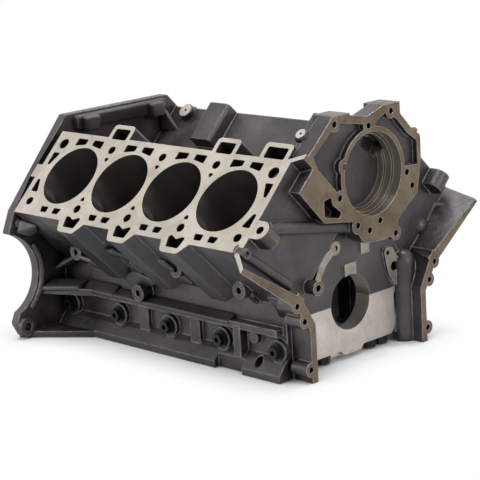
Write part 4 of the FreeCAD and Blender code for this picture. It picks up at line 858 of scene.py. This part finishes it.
# %% Pad, column and feet
FLANK_BOSSES = (-45, 51, 163)
NAME_SHIFT = 50  # keeps the numbers in the names above zero
spun_boss(
    "valley_pad", (-182, 103, 194), BANKS["left"]["inboard"], 11.5, 11, 1.8, cap_metal)
for side, name in SIDES:
    spun_boss("foot_boss_" + name, (-219, side * 193, -57), (1, 0, 0), 13, 6, 5.5, cast)
cast_web("valley_column", [
    (-182, 106, 187, 9), (-182, 82, 163, 9), (-172, 84, 163, 9), (-172, 107, 186, 9)])
for x in FLANK_BOSSES:
    cast_web("boss_foot_%d" % (x + NAME_SHIFT), [
        (x - 9, -132, 34, 4), (x + 9, -132, 34, 4), (x, -140, 46, 5)])
print("bosses made")

# %% [markdown]
# ## Webs of the front end
# A strut braces the near bank's front wall beside the deep recess, with a drilled head. A
# small pad stands on the crown of that wall. In the far chest a dome closes a cored tube, and
# a thick rim turns two corners. One hull would fill the space between its arms, so the rim is
# three hulls, one for each straight length.

# %% Front webs
CROWN_SLOPE = (0, -0.66, 0.75)
cast_web("front_strut", [(225, -192, 103, 7), (225, -126, 52, 8.5)])
spun_boss("front_strut_head", (218, -196, 107), (1, 0, 0), 7.5, 15, 3, cast)
spun_boss("crown_pad", (214, -74, 226), CROWN_SLOPE, 8, 5, 1.5, cap_metal)
cast_web(
    "chest_rim",
    [(206, 176, 92, 3.5), (222, 196, 86, 3.5)],
    [(206, 176, 92, 3.5), (206, 150, 58, 3.5)],
    [(206, 150, 58, 3.5), (224, 150, 56, 3.5)])
cast_web("far_dome", [(188, 149, 67, 15), (201, 149, 67, 14)])
print("front webs made")

# %% [markdown]
# ## Caps, bolts and dowels
# The caps hold the crankshaft in its bores and are ground, and their bolts are black. These
# solids already have the right shape, so nothing is copied: each only changes its material,
# and the name of the node says which.

# %% Finishes on the smaller nodes
for name, node in nodes.items():
    if name == "cylinder_block":
        continue
    finish = bolt_metal
    if name.startswith("main_cap"):
        finish = cap_metal
    elif name.startswith("rear_dowel"):
        finish = dowel_metal
    node.data.materials.clear()
    node.data.materials.append(finish)
print("dressed", len(nodes) - 1, "smaller nodes")

# %% [markdown]
# ## Rays that see, and rays that light
# A studio's white has two jobs: to look white, and to light the block. One brightness rarely
# suits both. Cycles tells a material which kind of ray asks, so what is seen, directly or in
# a reflection, can be white while what lights the block stays gentle.


# %% What the camera sees
def seen_rays(tree):
    """1 for what the camera sees, directly, mirrored or through glass."""
    paths = add_node(tree, "ShaderNodeLightPath")
    mirrored_too = add_node(tree, "ShaderNodeMath", {
        0: paths.outputs["Is Camera Ray"], 1: paths.outputs["Is Glossy Ray"],
    }, operation="MAXIMUM")
    return add_node(tree, "ShaderNodeMath", {
        0: mirrored_too.outputs[0], 1: paths.outputs["Is Transmission Ray"],
    }, operation="MAXIMUM").outputs[0]


print("ray helper ready")

# %% [markdown]
# ## The floor
# The floor should look pure white and still take the shadow that makes the block stand on it.
# A plain white sheet turns grey away from the lamps. So the open floor glows white for the
# rays that see it. Close to the block, where the Ambient Occlusion node finds it covered, the
# glow fades and the plain surface with its shadow shows.

# %% A white surface with a shadow
FLOOR_GREY = 0.9
SHADOW_REACH = 90 * MM
SHADOW_SAMPLES = 8


def floor_material():
    """White where it is open, plain near the block."""
    material, tree, shader = new_material("floor_white")
    shader.inputs["Base Color"].default_value = (FLOOR_GREY, FLOOR_GREY, FLOOR_GREY, 1)
    shader.inputs["Roughness"].default_value = 0.9
    shader.inputs["Specular IOR Level"].default_value = 0.1
    white = add_node(tree, "ShaderNodeEmission", {"Color": (1, 1, 1, 1), "Strength": 1.0})
    shade = add_node(tree, "ShaderNodeAmbientOcclusion", {
        "Distance": SHADOW_REACH}, samples=SHADOW_SAMPLES)
    open_floor = ramp(tree, shade.outputs["AO"], [(0.3, 0.0), (0.97, 1.0)])
    seen_white = mix(tree, 1.0, seen_rays(tree), open_floor, "MULTIPLY")
    blend = add_node(tree, "ShaderNodeMixShader", {
        0: seen_white, 1: shader.outputs[0], 2: white.outputs[0],
    })
    tree.links.new(blend.outputs[0], tree.nodes["Material Output"].inputs["Surface"])
    return material


print("the shadow fades within", SHADOW_REACH, "m")

# %% [markdown]
# ## The sheet
# One square with four corners is enough for a flat floor. It lies a hair below the block,
# because two surfaces at one height show through each other in patches.

# %% The floor under the block
FLOOR_HALF = 6.0
FLOOR_GAP = 0.2 * MM
mesh = bpy.data.meshes.new("floor")
mesh.from_pydata([
    (-FLOOR_HALF, -FLOOR_HALF, 0), (FLOOR_HALF, -FLOOR_HALF, 0),
    (FLOOR_HALF, FLOOR_HALF, 0), (-FLOOR_HALF, FLOOR_HALF, 0),
], [], [(0, 1, 2, 3)])
floor = bpy.data.objects.new("floor", mesh)
floor.location.z = cad_box[0][2] - FLOOR_GAP
bpy.context.scene.collection.objects.link(floor)
mesh.materials.append(floor_material())
print("floor at", round(floor.location.z, 4))

# %% [markdown]
# ## The room
# Walls and a ceiling would soften the shadows, but they take room and time to render. A world
# of one white colour does the same: dim for the light that it gives, so that the lamps still
# shape the block, and full white where it is seen.

# %% A white world
ROOM_LIGHT = 0.4
world = bpy.data.worlds.new("studio")
bpy.context.scene.world = world
world.use_nodes = True
tree = world.node_tree
backdrop = tree.nodes["Background"]
backdrop.inputs["Color"].default_value = (1, 1, 1, 1)
backdrop.inputs["Strength"].default_value = ROOM_LIGHT
seen = add_node(tree, "ShaderNodeBackground", {"Color": (1, 1, 1, 1), "Strength": 1.0})
blend = add_node(tree, "ShaderNodeMixShader", {
    0: seen_rays(tree), 1: backdrop.outputs[0], 2: seen.outputs[0],
})
tree.links.new(blend.outputs[0], tree.nodes["World Output"].inputs["Surface"])
print("world ready, room light", ROOM_LIGHT)

# %% [markdown]
# ## Four lamps
# Iron shows its shape best under broad lamps, which give soft edges of shade. The key hangs
# high over the near deck. A small lamp, high on the far side, crosses it and gives crisper
# glints. One from the front fills the recesses of the front end, and one low at the near side
# lifts the flank out of the dark.

# %% Lamps
# Each lamp: where it hangs, where it aims, its width and height, and its power in watts.
LAMPS = {
    "key_light": ((0.3, -0.5, 2.4), (0, 0, 0.1), (1.0, 1.0), 22),
    "far_light": ((0.2, 0.75, 2.3), (0, 0, 0.1), (0.3, 0.3), 18),
    "front_light": ((2.4, 0.4, 1.0), (0.1, 0, 0.1), (0.9, 1.2), 13),
    "side_light": ((-0.9, -2.3, 1.0), (0, 0, 0.05), (0.9, 0.9), 20),
}


def soft_light(name, at, aim, size, power):
    """A rectangular lamp that faces its aim."""
    lamp = bpy.data.lights.new(name, "AREA")
    lamp.shape = "RECTANGLE"
    lamp.size, lamp.size_y = size
    lamp.energy = power
    light = bpy.data.objects.new(name, lamp)
    light.location = at
    light.rotation_mode = "QUATERNION"
    light.rotation_quaternion = (Vector(aim) - Vector(at)).to_track_quat("-Z", "Y")
    bpy.context.scene.collection.objects.link(light)


for name, values in LAMPS.items():
    soft_light(name, *values)
print("lamps:", list(LAMPS))

# %% [markdown]
# ## The camera
# The camera stands off the near front corner, a little above the block. A long lens from a
# distance keeps the block's lines nearly parallel. A camera could be aimed by a constraint,
# but that would hold it level, and this one is tipped by a few degrees. So its turn is written
# as two directions, to its right and to its back, and its up direction follows from them.

# %% Camera
SENSOR = 36.0
LENS = 133.0
CAMERA_AT = Vector((1.6921, -1.5935, 0.6084))
CAMERA_RIGHT = Vector((0.69795, 0.71363, -0.05992))
CAMERA_BACK = Vector((0.70499, -0.66996, 0.23268))
camera_data = bpy.data.cameras.new("camera")
camera_data.sensor_width = SENSOR
camera_data.lens = LENS
camera = bpy.data.objects.new("camera", camera_data)
bpy.context.scene.collection.objects.link(camera)
camera_up = CAMERA_BACK.cross(CAMERA_RIGHT)
turn = Matrix((CAMERA_RIGHT, camera_up, CAMERA_BACK)).transposed()
camera.matrix_world = Matrix.Translation(CAMERA_AT) @ turn.to_4x4()
bpy.context.scene.camera = camera
bpy.context.scene.view_settings.view_transform = "Standard"
print("camera at", camera.location)
